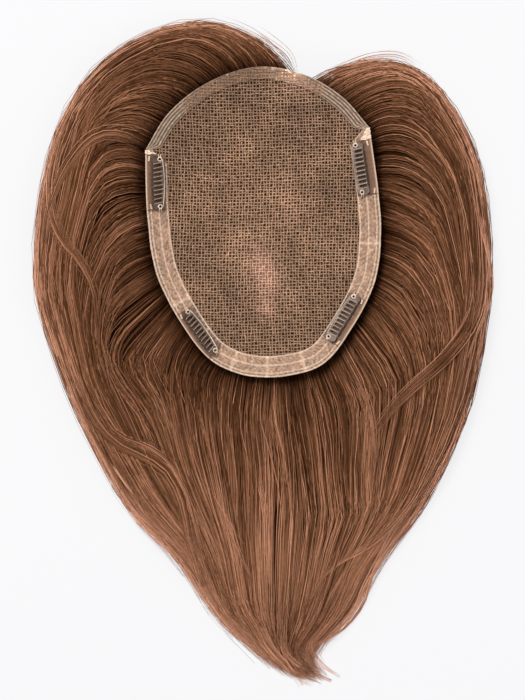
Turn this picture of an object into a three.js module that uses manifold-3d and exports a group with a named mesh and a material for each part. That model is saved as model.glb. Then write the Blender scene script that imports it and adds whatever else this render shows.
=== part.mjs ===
// A long-haired topper lying inside-up. A bowl of net with a ribbon border, satin pads and four snap combs
// rests on its own hair, which fans out round the base and sweeps into one tail.
// Millimetres, +Z up, +Y towards the forehead, X across the head, laid out from the middle of the base.
import * as THREE from "three";
import { mergeVertices } from "three/addons/utils/BufferGeometryUtils.js";
import Module from "manifold-3d";

const wasm = await Module();
wasm.setup();

// Base, in plan
const baseWidth = 143;
const baseLength = 188;
const bowlDepth = 27; // at half the base's width or length from its middle
const netWall = 1.2;
const layerGap = 0.4; // upright clearance between layers that are sewn together

// Border of the base: widths are measured in plan, in from the rim
const borderInset = 0.6;
const ribbonWidth = 13;
const ribbonWall = 1;
const frontEdgeWidth = 6;
const frontEdgeStart = 2; // along the rim from each front corner
const frontEdgeTaper = 7; // length over which the front edge widens from its ends
const cornerTabWidth = 8;

// Pads and snap combs
const padLength = 33;
const padWall = 1;
const combLength = 32;
const combWidth = 6.6;
const combPlate = 0.8;
const combSpine = 1.8;
const combBow = 0.9; // how far the spine bows inwards at its middle
const combTeeth = 10;
const toothWidth = 1.1;
const barWidth = 1.3;
const barWall = 0.6;
const barDrop = 1.1; // from the teeth down to the bar that they close over
const endPlate = 3.6; // length of the end plates that join spine and bar
const endCorner = 1.7;
const eyeletHole = 0.8; // radius
const eyeletInset = 2.1; // from the spine's edge to the eyelet's middle

// Hair
const hairWidth = 283;
const frontReach = 126; // from the middle of the base to the front of the hair
const tailReach = 277; // from the middle of the base to the narrow end of the bed
const hairUnder = 9; // hair pressed flat under the bowl
const rimOverHair = 0.6; // the rim's sides stand this far over the top of the hair beside them
const edgeRoll = 40; // how far in from the edge the hair rounds over
const rimDip = 8; // hair starts this far below its loft where it leaves the rim
const rimDipReach = 26;
const bedDrop = 0.1; // the bed lies this share of the hair's height under the locks' tops
const bedUndercut = 6; // how far in from the hair's edge its flat underside ends
const lockWidth = 21;
const lockThickness = 11;
const lockStep = 42; // mean distance between a lock's sections, which are closer near its root
const tailCurl = 31; // how far the tip turns to the right
const tipSpread = 20; // how far apart the locks lie where the curl starts
const tipDrop = 9; // the curl starts this far over the bed's tip and ends as far below it

// The rim as shares of half the base's width and length: from the left front corner round the back to the
// right front corner, and from there over the front to the left one
const BACK_RIM = [
  { across: -0.996, along: 0.458 },
  { across: -0.983, along: 0.058 },
  { across: -0.906, along: -0.331 },
  { across: -0.692, along: -0.656 },
  { across: -0.444, along: -0.89 },
  { across: -0.162, along: -0.987 },
  { across: 0.188, along: -0.994 },
  { across: 0.51, along: -0.915 },
  { across: 0.761, along: -0.675 },
  { across: 0.95, along: -0.38 },
  { across: 1, along: -0.091 },
  { across: 0.983, along: 0.162 },
  { across: 0.903, along: 0.6 },
];
const FRONT_RIM = [
  { across: 0.903, along: 0.6 },
  { across: 0.675, along: 0.799 },
  { across: 0.36, along: 0.945 },
  { across: -0.034, along: 1 },
  { across: -0.45, along: 0.905 },
  { across: -0.795, along: 0.701 },
  { across: -0.996, along: 0.458 },
];

// The hair's outline, anticlockwise from the notch at the front. across is a share of half the hair's width,
// along a share of the front reach where it is positive and of the tail's reach where it is negative
const HAIR_OUTLINE = [
  { across: 0.172, along: 0.72 },
  { across: 0.1, along: 0.82 },
  { across: -0.02, along: 0.92 },
  { across: -0.24, along: 1 },
  { across: -0.5, along: 0.94 },
  { across: -0.74, along: 0.76 },
  { across: -0.87, along: 0.53 },
  { across: -0.95, along: 0.29 },
  { across: -0.99, along: 0.03 },
  { across: -1, along: -0.12 },
  { across: -0.98, along: -0.19 },
  { across: -0.885, along: -0.31 },
  { across: -0.79, along: -0.445 },
  { across: -0.65, along: -0.585 },
  { across: -0.46, along: -0.72 },
  { across: -0.31, along: -0.805 },
  { across: -0.19, along: -0.885 },
  { across: 0, along: -0.965 },
  { across: 0.12, along: -1 },
  { across: 0.2, along: -0.975 },
  { across: 0.36, along: -0.9 },
  { across: 0.46, along: -0.82 },
  { across: 0.53, along: -0.745 },
  { across: 0.68, along: -0.64 },
  { across: 0.81, along: -0.525 },
  { across: 0.9, along: -0.4 },
  { across: 0.955, along: -0.26 },
  { across: 0.99, along: -0.13 },
  { across: 0.975, along: 0.03 },
  { across: 0.94, along: 0.3 },
  { across: 0.85, along: 0.53 },
  { across: 0.72, along: 0.72 },
  { across: 0.55, along: 0.8 },
  { across: 0.36, along: 0.77 },
];

// Thickness of the hair along its length: level is a share of the front or tail reach, loft of the hair loft
const HAIR_LOFT = [
  { level: -1, loft: 0.2 },
  { level: -0.85, loft: 0.36 },
  { level: -0.66, loft: 0.56 },
  { level: -0.48, loft: 0.78 },
  { level: -0.3, loft: 1 },
  { level: 0.5, loft: 1 },
  { level: 1, loft: 0.84 },
];

// Levels that a lock passes on its way down, as shares of the tail's reach
const HIP = -0.41;
const HEM = -0.645;
const TAPER = -0.86;

// Locks of hair, from the front notch down the left, then from the notch down the right. root is the bearing
// of the root on the rim, in degrees from +X. swing is how far its arc swings out between rim and edge. hip,
// hem and taper are its place across the hair at those levels, 0 at the left edge and 1 at the right. end is
// the share of the path that it covers, lift its height over the bed as a share of its thickness
const LOCKS = [
  { root: 86, swing: 0.84, hip: 0.035, hem: 0.05, taper: 0.06, end: 0.97, lift: 0.1 },
  { root: 95, swing: 0.6, hip: 0.06, hem: 0.085, taper: 0.1, end: 0.9, lift: -0.05 },
  { root: 106, swing: 0.42, hip: 0.09, hem: 0.12, taper: 0.14, end: 0.94, lift: 0.12 },
  { root: 118, swing: 0.32, hip: 0.125, hem: 0.155, taper: 0.19, end: 0.9, lift: 0 },
  { root: 134, swing: 0.25, hip: 0.165, hem: 0.2, taper: 0.24, end: 0.97, lift: 0.12 },
  { root: 150, swing: 0.22, hip: 0.205, hem: 0.25, taper: 0.28, end: 0.92, lift: -0.03 },
  { root: 168, swing: 0.2, hip: 0.245, hem: 0.3, taper: 0.33, end: 0.99, lift: 0.08 },
  { root: 190, swing: 0.19, hip: 0.285, hem: 0.345, taper: 0.38, end: 0.93, lift: 0 },
  { root: 212, swing: 0.2, hip: 0.325, hem: 0.385, taper: 0.42, end: 1, lift: 0.1 },
  { root: 233, swing: 0.2, hip: 0.365, hem: 0.42, taper: 0.45, end: 0.92, lift: -0.02 },
  { root: 253, swing: 0.2, hip: 0.42, hem: 0.455, taper: 0.48, end: 1, lift: 0.1 },
  { root: -88, swing: 0.2, hip: 0.5, hem: 0.51, taper: 0.52, end: 0.96, lift: 0 },
  { root: 64, swing: 0.82, hip: 0.965, hem: 0.95, taper: 0.94, end: 0.97, lift: 0.1 },
  { root: 56, swing: 0.55, hip: 0.93, hem: 0.92, taper: 0.9, end: 0.9, lift: -0.05 },
  { root: 45, swing: 0.42, hip: 0.895, hem: 0.885, taper: 0.86, end: 0.95, lift: 0.12 },
  { root: 30, swing: 0.32, hip: 0.855, hem: 0.845, taper: 0.82, end: 0.88, lift: 0 },
  { root: 14, swing: 0.26, hip: 0.815, hem: 0.8, taper: 0.77, end: 0.96, lift: 0.1 },
  { root: -4, swing: 0.22, hip: 0.77, hem: 0.755, taper: 0.73, end: 0.9, lift: -0.03 },
  { root: -23, swing: 0.2, hip: 0.72, hem: 0.71, taper: 0.69, end: 0.98, lift: 0.1 },
  { root: -45, swing: 0.2, hip: 0.665, hem: 0.66, taper: 0.64, end: 0.92, lift: 0 },
  { root: -67, swing: 0.2, hip: 0.58, hem: 0.59, taper: 0.58, end: 1, lift: 0.08 },
];
const arcEase = 14; // degrees over which a lock turns from leaving the rim to running round it
const arcDrift = 0.0034; // how much further out a lock drifts for each degree that it runs round the base
const arcLimit = 0.88; // locks stay this far inside the edge of the hair
const arcStep = 20; // degrees between the points of an arc
const leftRootsFrom = 75; // locks with roots past this bearing go down the left
const leftArcEnd = 211; // bearings at which the arcs become the downward sweep
const rightArcEnd = -29;
const rootUnderRim = 0.12; // a lock starts this far under the base, as a share of the hair beside it
const rootPastRim = 0.04;

// Snap combs: place is a share of the back rim's length, inset how far in from the rim the comb's middle
// lies, as a share of the ribbon's width
const COMBS = [
  { name: "upper_left", place: 0.054, inset: 0.58 },
  { name: "lower_left", place: 0.3305, inset: 0.51 },
  { name: "lower_right", place: 0.662, inset: 0.63 },
  { name: "upper_right", place: 0.9365, inset: 0.69 },
];

const COLOURS = {
  hair: { color: 0x6f4630, roughness: 0.5, metalness: 0 },
  net: { color: 0x9a7a60, roughness: 0.9, metalness: 0 },
  ribbon: { color: 0xcfaa8c, roughness: 0.85, metalness: 0 },
  satin: { color: 0x8a6a58, roughness: 0.5, metalness: 0 },
  steel: { color: 0x8f8984, roughness: 0.35, metalness: 0.9 },
};

const bowlFloor = hairUnder + layerGap + netWall;
const hairLoft = bowlFloor + bowlDepth - rimOverHair; // top of the hair beside the base
const backRim = rimCurve(BACK_RIM);
const frontRim = rimCurve(FRONT_RIM);
const rim = [...backRim.getSpacedPoints(42).slice(0, -1), ...frontRim.getSpacedPoints(18).slice(0, -1)];
const hairEdge = hairOutlineCurve().getPoints(68).slice(0, -1);

function rimCurve(rows) {
  const points = rows.map((row) => {
    return new THREE.Vector3((row.across * baseWidth) / 2, (row.along * baseLength) / 2, 0);
  });
  return new THREE.CatmullRomCurve3(points, false, "centripetal");
}

function levelToY(level) {
  return level * (level > 0 ? frontReach : tailReach);
}

function hairOutlineCurve() {
  const points = HAIR_OUTLINE.map((row) => {
    return new THREE.Vector3((row.across * hairWidth) / 2, levelToY(row.along), 0);
  });
  return new THREE.CatmullRomCurve3(points, true, "centripetal");
}

// Distance from the middle of the base to an outline, in one direction
function reachOf(outline, bearing) {
  const dx = Math.cos(bearing);
  const dy = Math.sin(bearing);
  let reach = 0;
  for (let i = 0; i < outline.length; i += 1) {
    const a = outline[i];
    const b = outline[(i + 1) % outline.length];
    const slant = dx * (b.y - a.y) - dy * (b.x - a.x);
    const along = (dy * a.x - dx * a.y) / slant;
    const far = dx * (a.x + along * (b.x - a.x)) + dy * (a.y + along * (b.y - a.y));
    if (along > -1e-9 && along < 1 + 1e-9 && far > reach) {
      reach = far;
    }
  }
  return reach;
}

// Left and right ends of the hair at one level
function hairSpan(y) {
  const crossings = [];
  for (let i = 0; i < hairEdge.length; i += 1) {
    const a = hairEdge[i];
    const b = hairEdge[(i + 1) % hairEdge.length];
    if (a.y > y !== b.y > y) {
      crossings.push(a.x + ((y - a.y) * (b.x - a.x)) / (b.y - a.y));
    }
  }
  return { left: Math.min(...crossings), right: Math.max(...crossings) };
}

// Upper face of the net
function netTop(x, y) {
  return bowlFloor + bowlDepth * ((x / (baseWidth / 2)) ** 2 + (y / (baseLength / 2)) ** 2);
}

function loftAt(y) {
  const rows = HAIR_LOFT.map((row) => ({ y: levelToY(row.level), loft: row.loft * hairLoft }));
  const next = rows.findIndex((row) => row.y > y);
  if (next === 0) {
    return rows[0].loft;
  }
  if (next < 0) {
    return rows[rows.length - 1].loft;
  }
  const a = rows[next - 1];
  const b = rows[next];
  return THREE.MathUtils.lerp(a.loft, b.loft, (y - a.y) / (b.y - a.y));
}

// Top of the hair: full beside the base, lower where it leaves the rim, and rounded down at its edge
function hairTop(x, y) {
  const bearing = Math.atan2(y, x);
  const radius = Math.hypot(x, y);
  const inFromEdge = Math.max(reachOf(hairEdge, bearing) - radius, 0);
  const flat = Math.min(inFromEdge / edgeRoll, 1);
  const rolled = 0.1 + 0.9 * Math.sqrt(1 - (1 - flat) ** 2);
  const pastRim = Math.max(radius - reachOf(rim, bearing), 0);
  const dip = rimDip * Math.max(1 - pastRim / rimDipReach, 0) ** 2;
  return loftAt(y) * rolled - dip;
}

// A closed body through rings of equally many points, capped at both ends round the rings' middles
function closedSkin(rings) {
  const sides = rings[0].length;
  const points = rings.flat();
  const faces = [];
  for (let ring = 0; ring + 1 < rings.length; ring += 1) {
    for (let side = 0; side < sides; side += 1) {
      const a = ring * sides + side;
      const b = ring * sides + ((side + 1) % sides);
      faces.push([a, b, b + sides], [a, b + sides, a + sides]);
    }
  }
  const last = (rings.length - 1) * sides;
  for (const [start, turn] of [[0, false], [last, true]]) {
    const ring = points.slice(start, start + sides);
    const middle = ring.reduce((sum, point) => sum.add(point), new THREE.Vector3()).divideScalar(sides);
    points.push(middle);
    for (let side = 0; side < sides; side += 1) {
      const a = start + side;
      const b = start + ((side + 1) % sides);
      faces.push(turn ? [a, b, points.length - 1] : [b, a, points.length - 1]);
    }
  }
  return faceOutwards(points, faces);
}

function faceOutwards(points, faces) {
  const volume = faces.reduce((sum, [a, b, c]) => {
    return sum + points[a].dot(new THREE.Vector3().crossVectors(points[b], points[c]));
  }, 0);
  const order = volume > 0 ? faces : faces.map(([a, b, c]) => [a, c, b]);
  const geometry = new THREE.BufferGeometry();
  geometry.setAttribute("position", new THREE.Float32BufferAttribute(points.flatMap((p) => p.toArray()), 3));
  geometry.setIndex(order.flat());
  geometry.computeVertexNormals();
  return geometry;
}

function toSolid(geometry) {
  const bare = geometry.clone();
  bare.deleteAttribute("normal");
  bare.deleteAttribute("uv");
  const merged = mergeVertices(bare, 1e-4);
  return new wasm.Manifold(
    new wasm.Mesh({
      numProp: 3,
      vertProperties: new Float32Array(merged.attributes.position.array),
      triVerts: new Uint32Array(merged.index.array),
    }),
  );
}

function toGeometry(solid) {
  const mesh = solid.getMesh();
  const geometry = new THREE.BufferGeometry();
  geometry.setAttribute("position", new THREE.BufferAttribute(new Float32Array(mesh.vertProperties), 3));
  geometry.setIndex(new THREE.BufferAttribute(new Uint32Array(mesh.triVerts), 1));
  geometry.computeVertexNormals();
  return geometry;
}

// The rim drawn in towards the middle and laid on the bowl, lowered by a distance
function bowlRing(share, lower) {
  return rim.map(({ x, y }) => {
    return new THREE.Vector3(x * share, y * share, netTop(x * share, y * share) - lower);
  });
}

const BOWL_RINGS = [0.18, 0.5, 0.75, 0.9, 1];

function netBase() {
  const below = BOWL_RINGS.map((share) => bowlRing(share, netWall));
  const above = BOWL_RINGS.map((share) => bowlRing(share, 0)).reverse();
  return closedSkin([...below, ...above]);
}

// The room that the base takes up in the hair, open to above
function bowlRoom() {
  const lower = netWall + layerGap;
  const rings = BOWL_RINGS.map((share) => bowlRing(share, lower));
  const outer = 1 + layerGap / (baseWidth / 2);
  rings.push(bowlRing(outer, lower));
  rings.push(bowlRing(outer, -hairLoft));
  return closedSkin(rings);
}

// A place beside the rim: curve is the back or front rim, place a share of its length, inset a distance in
function besideRim(curve, place, inset) {
  const point = curve.getPointAt(place);
  const tangent = curve.getTangentAt(place);
  const inward = new THREE.Vector3(-tangent.y, tangent.x, 0).normalize();
  if (inward.dot(point) > 0) {
    inward.negate();
  }
  return { point: point.addScaledVector(inward, inset), tangent, outward: inward.negate() };
}

// A strip sewn on the bowl along the rim, from one distance along it to another, between two insets. At its
// ends it may narrow over a length of taper
function sewnStrip(curve, { from, to, outer, inner, lift, wall, steps, taper = 0 }) {
  const across = 3;
  const rings = [];
  for (let step = 0; step <= steps; step += 1) {
    const distance = THREE.MathUtils.lerp(from, to, step / steps);
    const fromEnd = Math.min(distance - from, to - distance);
    const full = taper > 0 ? Math.min(0.1 + fromEnd / taper, 1) : 1;
    const place = distance / curve.getLength();
    const top = [];
    for (let i = 0; i <= across; i += 1) {
      const inset = THREE.MathUtils.lerp(outer, inner, (full * i) / across);
      const { point } = besideRim(curve, place, inset);
      top.push(point.setZ(netTop(point.x, point.y) + lift + wall));
    }
    const bottom = top.map((point) => point.clone().setZ(point.z - wall)).reverse();
    rings.push([...top, ...bottom]);
  }
  return closedSkin(rings);
}

// Lays a flat indexed geometry on the bowl: its X runs along the rim, its Y out to the rim, its Z upwards
function drape(geometry, { point, tangent, outward }, lift) {
  const position = geometry.attributes.position;
  const points = [];
  for (let i = 0; i < position.count; i += 1) {
    const x = point.x + tangent.x * position.getX(i) + outward.x * position.getY(i);
    const y = point.y + tangent.y * position.getX(i) + outward.y * position.getY(i);
    points.push(new THREE.Vector3(x, y, netTop(x, y) + lift + position.getZ(i)));
  }
  const faces = [];
  for (let i = 0; i < geometry.index.count; i += 3) {
    faces.push([0, 1, 2].map((corner) => geometry.index.getX(i + corner)));
  }
  return faceOutwards(points, faces);
}

const ribbonLift = layerGap;
const padLift = ribbonLift + ribbonWall + layerGap;
const combLift = padLift + padWall + layerGap;

function ribbonBand() {
  return sewnStrip(backRim, {
    from: 0,
    to: backRim.getLength(),
    outer: borderInset,
    inner: ribbonWidth,
    lift: ribbonLift,
    wall: ribbonWall,
    steps: 38,
  });
}

function frontEdge() {
  return sewnStrip(frontRim, {
    from: frontEdgeStart,
    to: frontRim.getLength() - frontEdgeStart,
    outer: borderInset,
    inner: frontEdgeWidth,
    lift: ribbonLift,
    wall: ribbonWall,
    steps: 20,
    taper: frontEdgeTaper,
  });
}

function clipPad({ place }) {
  const middle = place * backRim.getLength();
  return sewnStrip(backRim, {
    from: middle - padLength / 2,
    to: middle + padLength / 2,
    outer: borderInset,
    inner: ribbonWidth,
    lift: padLift,
    wall: padWall,
    steps: 6,
  });
}

// The patch over a front corner of the ribbon, between the corner and the pad next to it
function cornerTab({ place }) {
  const length = backRim.getLength();
  const pad = place * length;
  const onLeft = place < 0.5;
  return sewnStrip(backRim, {
    from: onLeft ? 0 : pad + padLength / 2 + layerGap,
    to: onLeft ? pad - padLength / 2 - layerGap : length,
    outer: borderInset,
    inner: cornerTabWidth,
    lift: padLift,
    wall: padWall,
    steps: 2,
  });
}

const combEnd = combLength / 2;
const combOuter = combWidth / 2;
const combReach = combEnd - endCorner; // from a comb's middle to the ends of its spine

// The spine's outer edge, from which the teeth start: it bows inwards at the comb's middle
function spineEdge(x) {
  return -combOuter + combSpine - combBow * (1 - (x / combReach) ** 2);
}

// Outline of the spine with its teeth
function spineOutline() {
  const pitch = (2 * (combReach - toothWidth)) / combTeeth;
  const outline = [];
  for (let i = 0; i <= combTeeth; i += 1) {
    const x = -combReach + toothWidth + i * pitch;
    outline.push(new THREE.Vector2(x, spineEdge(x) - combSpine));
  }
  for (let i = combTeeth - 1; i >= 0; i -= 1) {
    const x = -combReach + toothWidth + (i + 0.5) * pitch;
    outline.push(new THREE.Vector2(x + toothWidth / 2, spineEdge(x)));
    outline.push(new THREE.Vector2(x + toothWidth / 4, combOuter));
    outline.push(new THREE.Vector2(x - toothWidth / 4, combOuter));
    outline.push(new THREE.Vector2(x - toothWidth / 2, spineEdge(x)));
  }
  return new THREE.Shape(outline);
}

// Outline of the bar that the teeth close over
function barOutline() {
  return new THREE.Shape([
    new THREE.Vector2(-combReach, combOuter - barWidth),
    new THREE.Vector2(0, combOuter - barWidth / 2),
    new THREE.Vector2(combReach, combOuter - barWidth),
    new THREE.Vector2(combReach, combOuter),
    new THREE.Vector2(0, combOuter + barWidth / 2),
    new THREE.Vector2(-combReach, combOuter),
  ]);
}

// Outline of an end plate with its sewing eyelet: end is -1 or 1
function endOutline(end) {
  const inner = end * (combEnd - endPlate);
  const corner = end * (combEnd - endCorner * 0.75);
  const outline = new THREE.Shape([
    new THREE.Vector2(inner, -combOuter),
    new THREE.Vector2(corner, -combOuter),
    new THREE.Vector2(end * combEnd, -combOuter + endCorner),
    new THREE.Vector2(end * combEnd, combOuter - endCorner),
    new THREE.Vector2(corner, combOuter),
    new THREE.Vector2(inner, combOuter),
  ]);
  const hole = new THREE.Path();
  hole.absarc(end * combReach, -combOuter + eyeletInset, eyeletHole, 0, Math.PI * 2);
  outline.holes.push(hole);
  return outline;
}

// The snap comb, flat: the spine with its teeth over the bar, joined by a plate at each end
function flatComb() {
  const plate = (outline, depth) => {
    return new THREE.ExtrudeGeometry(outline, { depth, bevelEnabled: false, curveSegments: 4 });
  };
  const spine = toSolid(plate(spineOutline(), combPlate).translate(0, 0, barDrop));
  const bar = toSolid(plate(barOutline(), barWall));
  const ends = [-1, 1].map((end) => toSolid(plate(endOutline(end), barDrop + combPlate)));
  return toGeometry([bar, ...ends].reduce((comb, piece) => comb.add(piece), spine));
}

function snapComb({ place, inset }) {
  return drape(flatComb(), besideRim(backRim, place, inset * ribbonWidth), combLift);
}

// Adds a point to a lock's path: out is its place between the rim, 0, and the hair's edge, 1
function addOnBearing(points, degrees, out) {
  const bearing = THREE.MathUtils.degToRad(degrees);
  const rimReach = reachOf(rim, bearing);
  const radius = rimReach + out * (reachOf(hairEdge, bearing) - rimReach);
  points.push(new THREE.Vector3(radius * Math.cos(bearing), radius * Math.sin(bearing), 0));
}

// The path of a lock: from under the rim, round the base in its arc, down the tail and into its curl
function lockPath({ root, swing, hip, hem, taper }) {
  const goesLeft = root > leftRootsFrom;
  const arcEnd = goesLeft ? leftArcEnd : rightArcEnd;
  const sense = goesLeft ? 1 : -1;
  const turn = Math.max((arcEnd - root) * sense, 0);
  const points = [];
  addOnBearing(points, root, -rootUnderRim);
  addOnBearing(points, root + sense, rootPastRim);
  const steps = Math.ceil(turn / arcStep);
  for (let step = 1; step <= steps; step += 1) {
    const turned = (turn * step) / steps;
    const out = swing * (1 - Math.exp(-turned / arcEase)) + arcDrift * turned;
    addOnBearing(points, root + sense * turned, Math.min(out, arcLimit));
  }
  for (const [level, across] of [[HIP, hip], [HEM, hem], [TAPER, taper]]) {
    const y = levelToY(level);
    const span = hairSpan(y);
    points.push(new THREE.Vector3(THREE.MathUtils.lerp(span.left, span.right, across), y, 0));
  }
  const tip = hairEdge.reduce((lowest, point) => (point.y < lowest.y ? point : lowest));
  points.push(new THREE.Vector3(tip.x + (taper - 0.4) * tipSpread, tip.y + tipDrop, 0));
  points.push(new THREE.Vector3(tip.x + tailCurl, tip.y - tipDrop + taper * tipDrop, 0));
  return new THREE.CatmullRomCurve3(points, false, "centripetal");
}

// One lock: a lens section that widens from its root and narrows to its tip, lying on the hair's top
function lock(row) {
  const path = lockPath(row);
  const sides = 6;
  const steps = Math.round(path.getLength() / lockStep);
  const rings = [];
  for (let step = 0; step <= steps; step += 1) {
    const share = (step / steps) ** 1.2 * row.end;
    const middle = path.getPointAt(share);
    const tangent = path.getTangentAt(share);
    const full = Math.min(0.45 + 3 * share, 1) * Math.min(0.12 + 2.6 * (1 - step / steps), 1);
    const span = hairSpan(Math.max(Math.min(middle.y, 0), levelToY(-0.97)));
    const width = lockWidth * full * ((span.right - span.left) / hairWidth) ** 0.8;
    const top = hairTop(middle.x, middle.y) + row.lift * lockThickness;
    const thickness = Math.min(lockThickness * Math.max(full, 0.3), 0.75 * top);
    rings.push(lensRing(middle, tangent, top - thickness / 2, width, thickness, sides));
  }
  return closedSkin(rings);
}

function lensRing(middle, tangent, height, width, thickness, sides) {
  const ring = [];
  for (let side = 0; side < sides; side += 1) {
    const angle = (side / sides) * Math.PI * 2;
    const across = (Math.cos(angle) * width) / 2;
    const up = (Math.sin(angle) * thickness) / 2;
    ring.push(new THREE.Vector3(middle.x - tangent.y * across, middle.y + tangent.x * across, height + up));
  }
  return ring;
}

// The bed that all locks lie on and grow from, flat underneath
function hairBed() {
  const shares = [0.12, 0.35, 0.55, 0.7, 0.82, 0.91, 0.97, 0.992];
  const over = shares.map((share) => {
    return hairEdge.map(({ x, y }) => {
      const place = new THREE.Vector3(x * share, y * share, 0);
      return place.setZ(hairTop(place.x, place.y) * (1 - bedDrop));
    });
  });
  const under = hairEdge.map(({ x, y }) => {
    const share = 1 - bedUndercut / Math.hypot(x, y);
    return new THREE.Vector3(x * share, y * share, 0);
  });
  return closedSkin([...over, under]);
}

function hair() {
  const locks = LOCKS.map((row) => toSolid(lock(row)));
  const whole = locks.reduce((sum, each) => sum.add(each), toSolid(hairBed()));
  return toGeometry(whole.subtract(toSolid(bowlRoom())));
}

const topper = new THREE.Group();

function addPiece(name, geometry, { color, roughness, metalness }) {
  const material = new THREE.MeshStandardMaterial({ color, roughness, metalness });
  const mesh = new THREE.Mesh(geometry, material);
  mesh.name = name;
  topper.add(mesh);
}

addPiece("hair", hair(), COLOURS.hair);
addPiece("net_base", netBase(), COLOURS.net);
addPiece("ribbon_band", ribbonBand(), COLOURS.ribbon);
addPiece("front_edge", frontEdge(), COLOURS.ribbon);
addPiece("corner_tab_left", cornerTab(COMBS[0]), COLOURS.ribbon);
addPiece("corner_tab_right", cornerTab(COMBS[3]), COLOURS.ribbon);
for (const comb of COMBS) {
  addPiece(`clip_pad_${comb.name}`, clipPad(comb), COLOURS.satin);
  addPiece(`snap_comb_${comb.name}`, snapComb(comb), COLOURS.steel);
}

// The origin is under the middle of the whole piece
const bounds = new THREE.Box3().setFromObject(topper);
const centre = bounds.getCenter(new THREE.Vector3());
topper.position.set(-centre.x, -centre.y, -bounds.min.z);

export default topper;
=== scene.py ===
import math

import bpy
import numpy as np
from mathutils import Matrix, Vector


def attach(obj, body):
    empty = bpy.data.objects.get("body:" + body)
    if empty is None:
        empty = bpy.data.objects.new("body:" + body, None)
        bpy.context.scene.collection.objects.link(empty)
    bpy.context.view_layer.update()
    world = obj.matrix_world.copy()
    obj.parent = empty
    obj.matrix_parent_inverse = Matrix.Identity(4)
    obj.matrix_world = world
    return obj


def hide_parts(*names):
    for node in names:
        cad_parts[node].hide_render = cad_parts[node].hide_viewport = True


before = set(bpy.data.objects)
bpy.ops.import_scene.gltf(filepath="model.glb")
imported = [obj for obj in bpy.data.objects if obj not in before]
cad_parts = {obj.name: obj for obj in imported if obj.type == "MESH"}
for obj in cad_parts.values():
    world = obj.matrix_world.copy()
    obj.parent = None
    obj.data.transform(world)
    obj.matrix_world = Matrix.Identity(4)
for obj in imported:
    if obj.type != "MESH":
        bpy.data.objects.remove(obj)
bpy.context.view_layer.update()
random = np.random.default_rng(11)

# Lengths are millimetres from the middle of the base. place() puts them in the row frame, in metres
MM = 0.001
BASE_MIDDLE = (0.84, 78.70)
HALF_WIDTH = 71.5
HALF_LENGTH = 94.0
BOWL_FLOOR = 10.6
BOWL_DEPTH = 27.0
HAIR_HALF_WIDTH = 141.5
FRONT_REACH = 126.0
TAIL_REACH = 277.0
HAIR_LOFT = 37.0
EDGE_ROLL = 40.0
RIM_DIP = 8.0
RIM_DIP_REACH = 26.0
# At its very edge the hair has this share of its loft
EDGE_LOFT = 0.1
# How far past the rim the net still limits the hair, and a height that limits nothing
NET_OVERHANG = 1.5
NO_CEILING = 1e3

# The rim as shares of half the base's width and length: (across, along)
BACK_RIM = [
    (-0.996, 0.458), (-0.983, 0.058), (-0.906, -0.331), (-0.692, -0.656), (-0.444, -0.89),
    (-0.162, -0.987), (0.188, -0.994), (0.51, -0.915), (0.761, -0.675), (0.95, -0.38),
    (1, -0.091), (0.983, 0.162), (0.903, 0.6),
]
FRONT_RIM = [
    (0.903, 0.6), (0.675, 0.799), (0.36, 0.945), (-0.034, 1), (-0.45, 0.905), (-0.795, 0.701),
    (-0.996, 0.458),
]
# The hair's outline: (across, along), shares of half the hair's width and of the front or tail reach
HAIR_OUTLINE = [
    (0.172, 0.72), (0.1, 0.82), (-0.02, 0.92), (-0.24, 1), (-0.5, 0.94), (-0.74, 0.76), (-0.87, 0.53),
    (-0.95, 0.29), (-0.99, 0.03), (-1, -0.12), (-0.98, -0.19), (-0.885, -0.31), (-0.79, -0.445),
    (-0.65, -0.585), (-0.46, -0.72), (-0.31, -0.805), (-0.19, -0.885), (0, -0.965), (0.12, -1),
    (0.2, -0.975), (0.36, -0.9), (0.46, -0.82), (0.53, -0.745), (0.68, -0.64), (0.81, -0.525),
    (0.9, -0.4), (0.955, -0.26), (0.99, -0.13), (0.975, 0.03), (0.94, 0.3), (0.85, 0.53),
    (0.72, 0.72), (0.55, 0.8), (0.36, 0.77),
]
LOFT_LEVELS = [-1, -0.85, -0.66, -0.48, -0.3, 0.5, 1]
LOFT_SHARES = [0.2, 0.36, 0.56, 0.78, 1, 1, 0.84]

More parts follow.
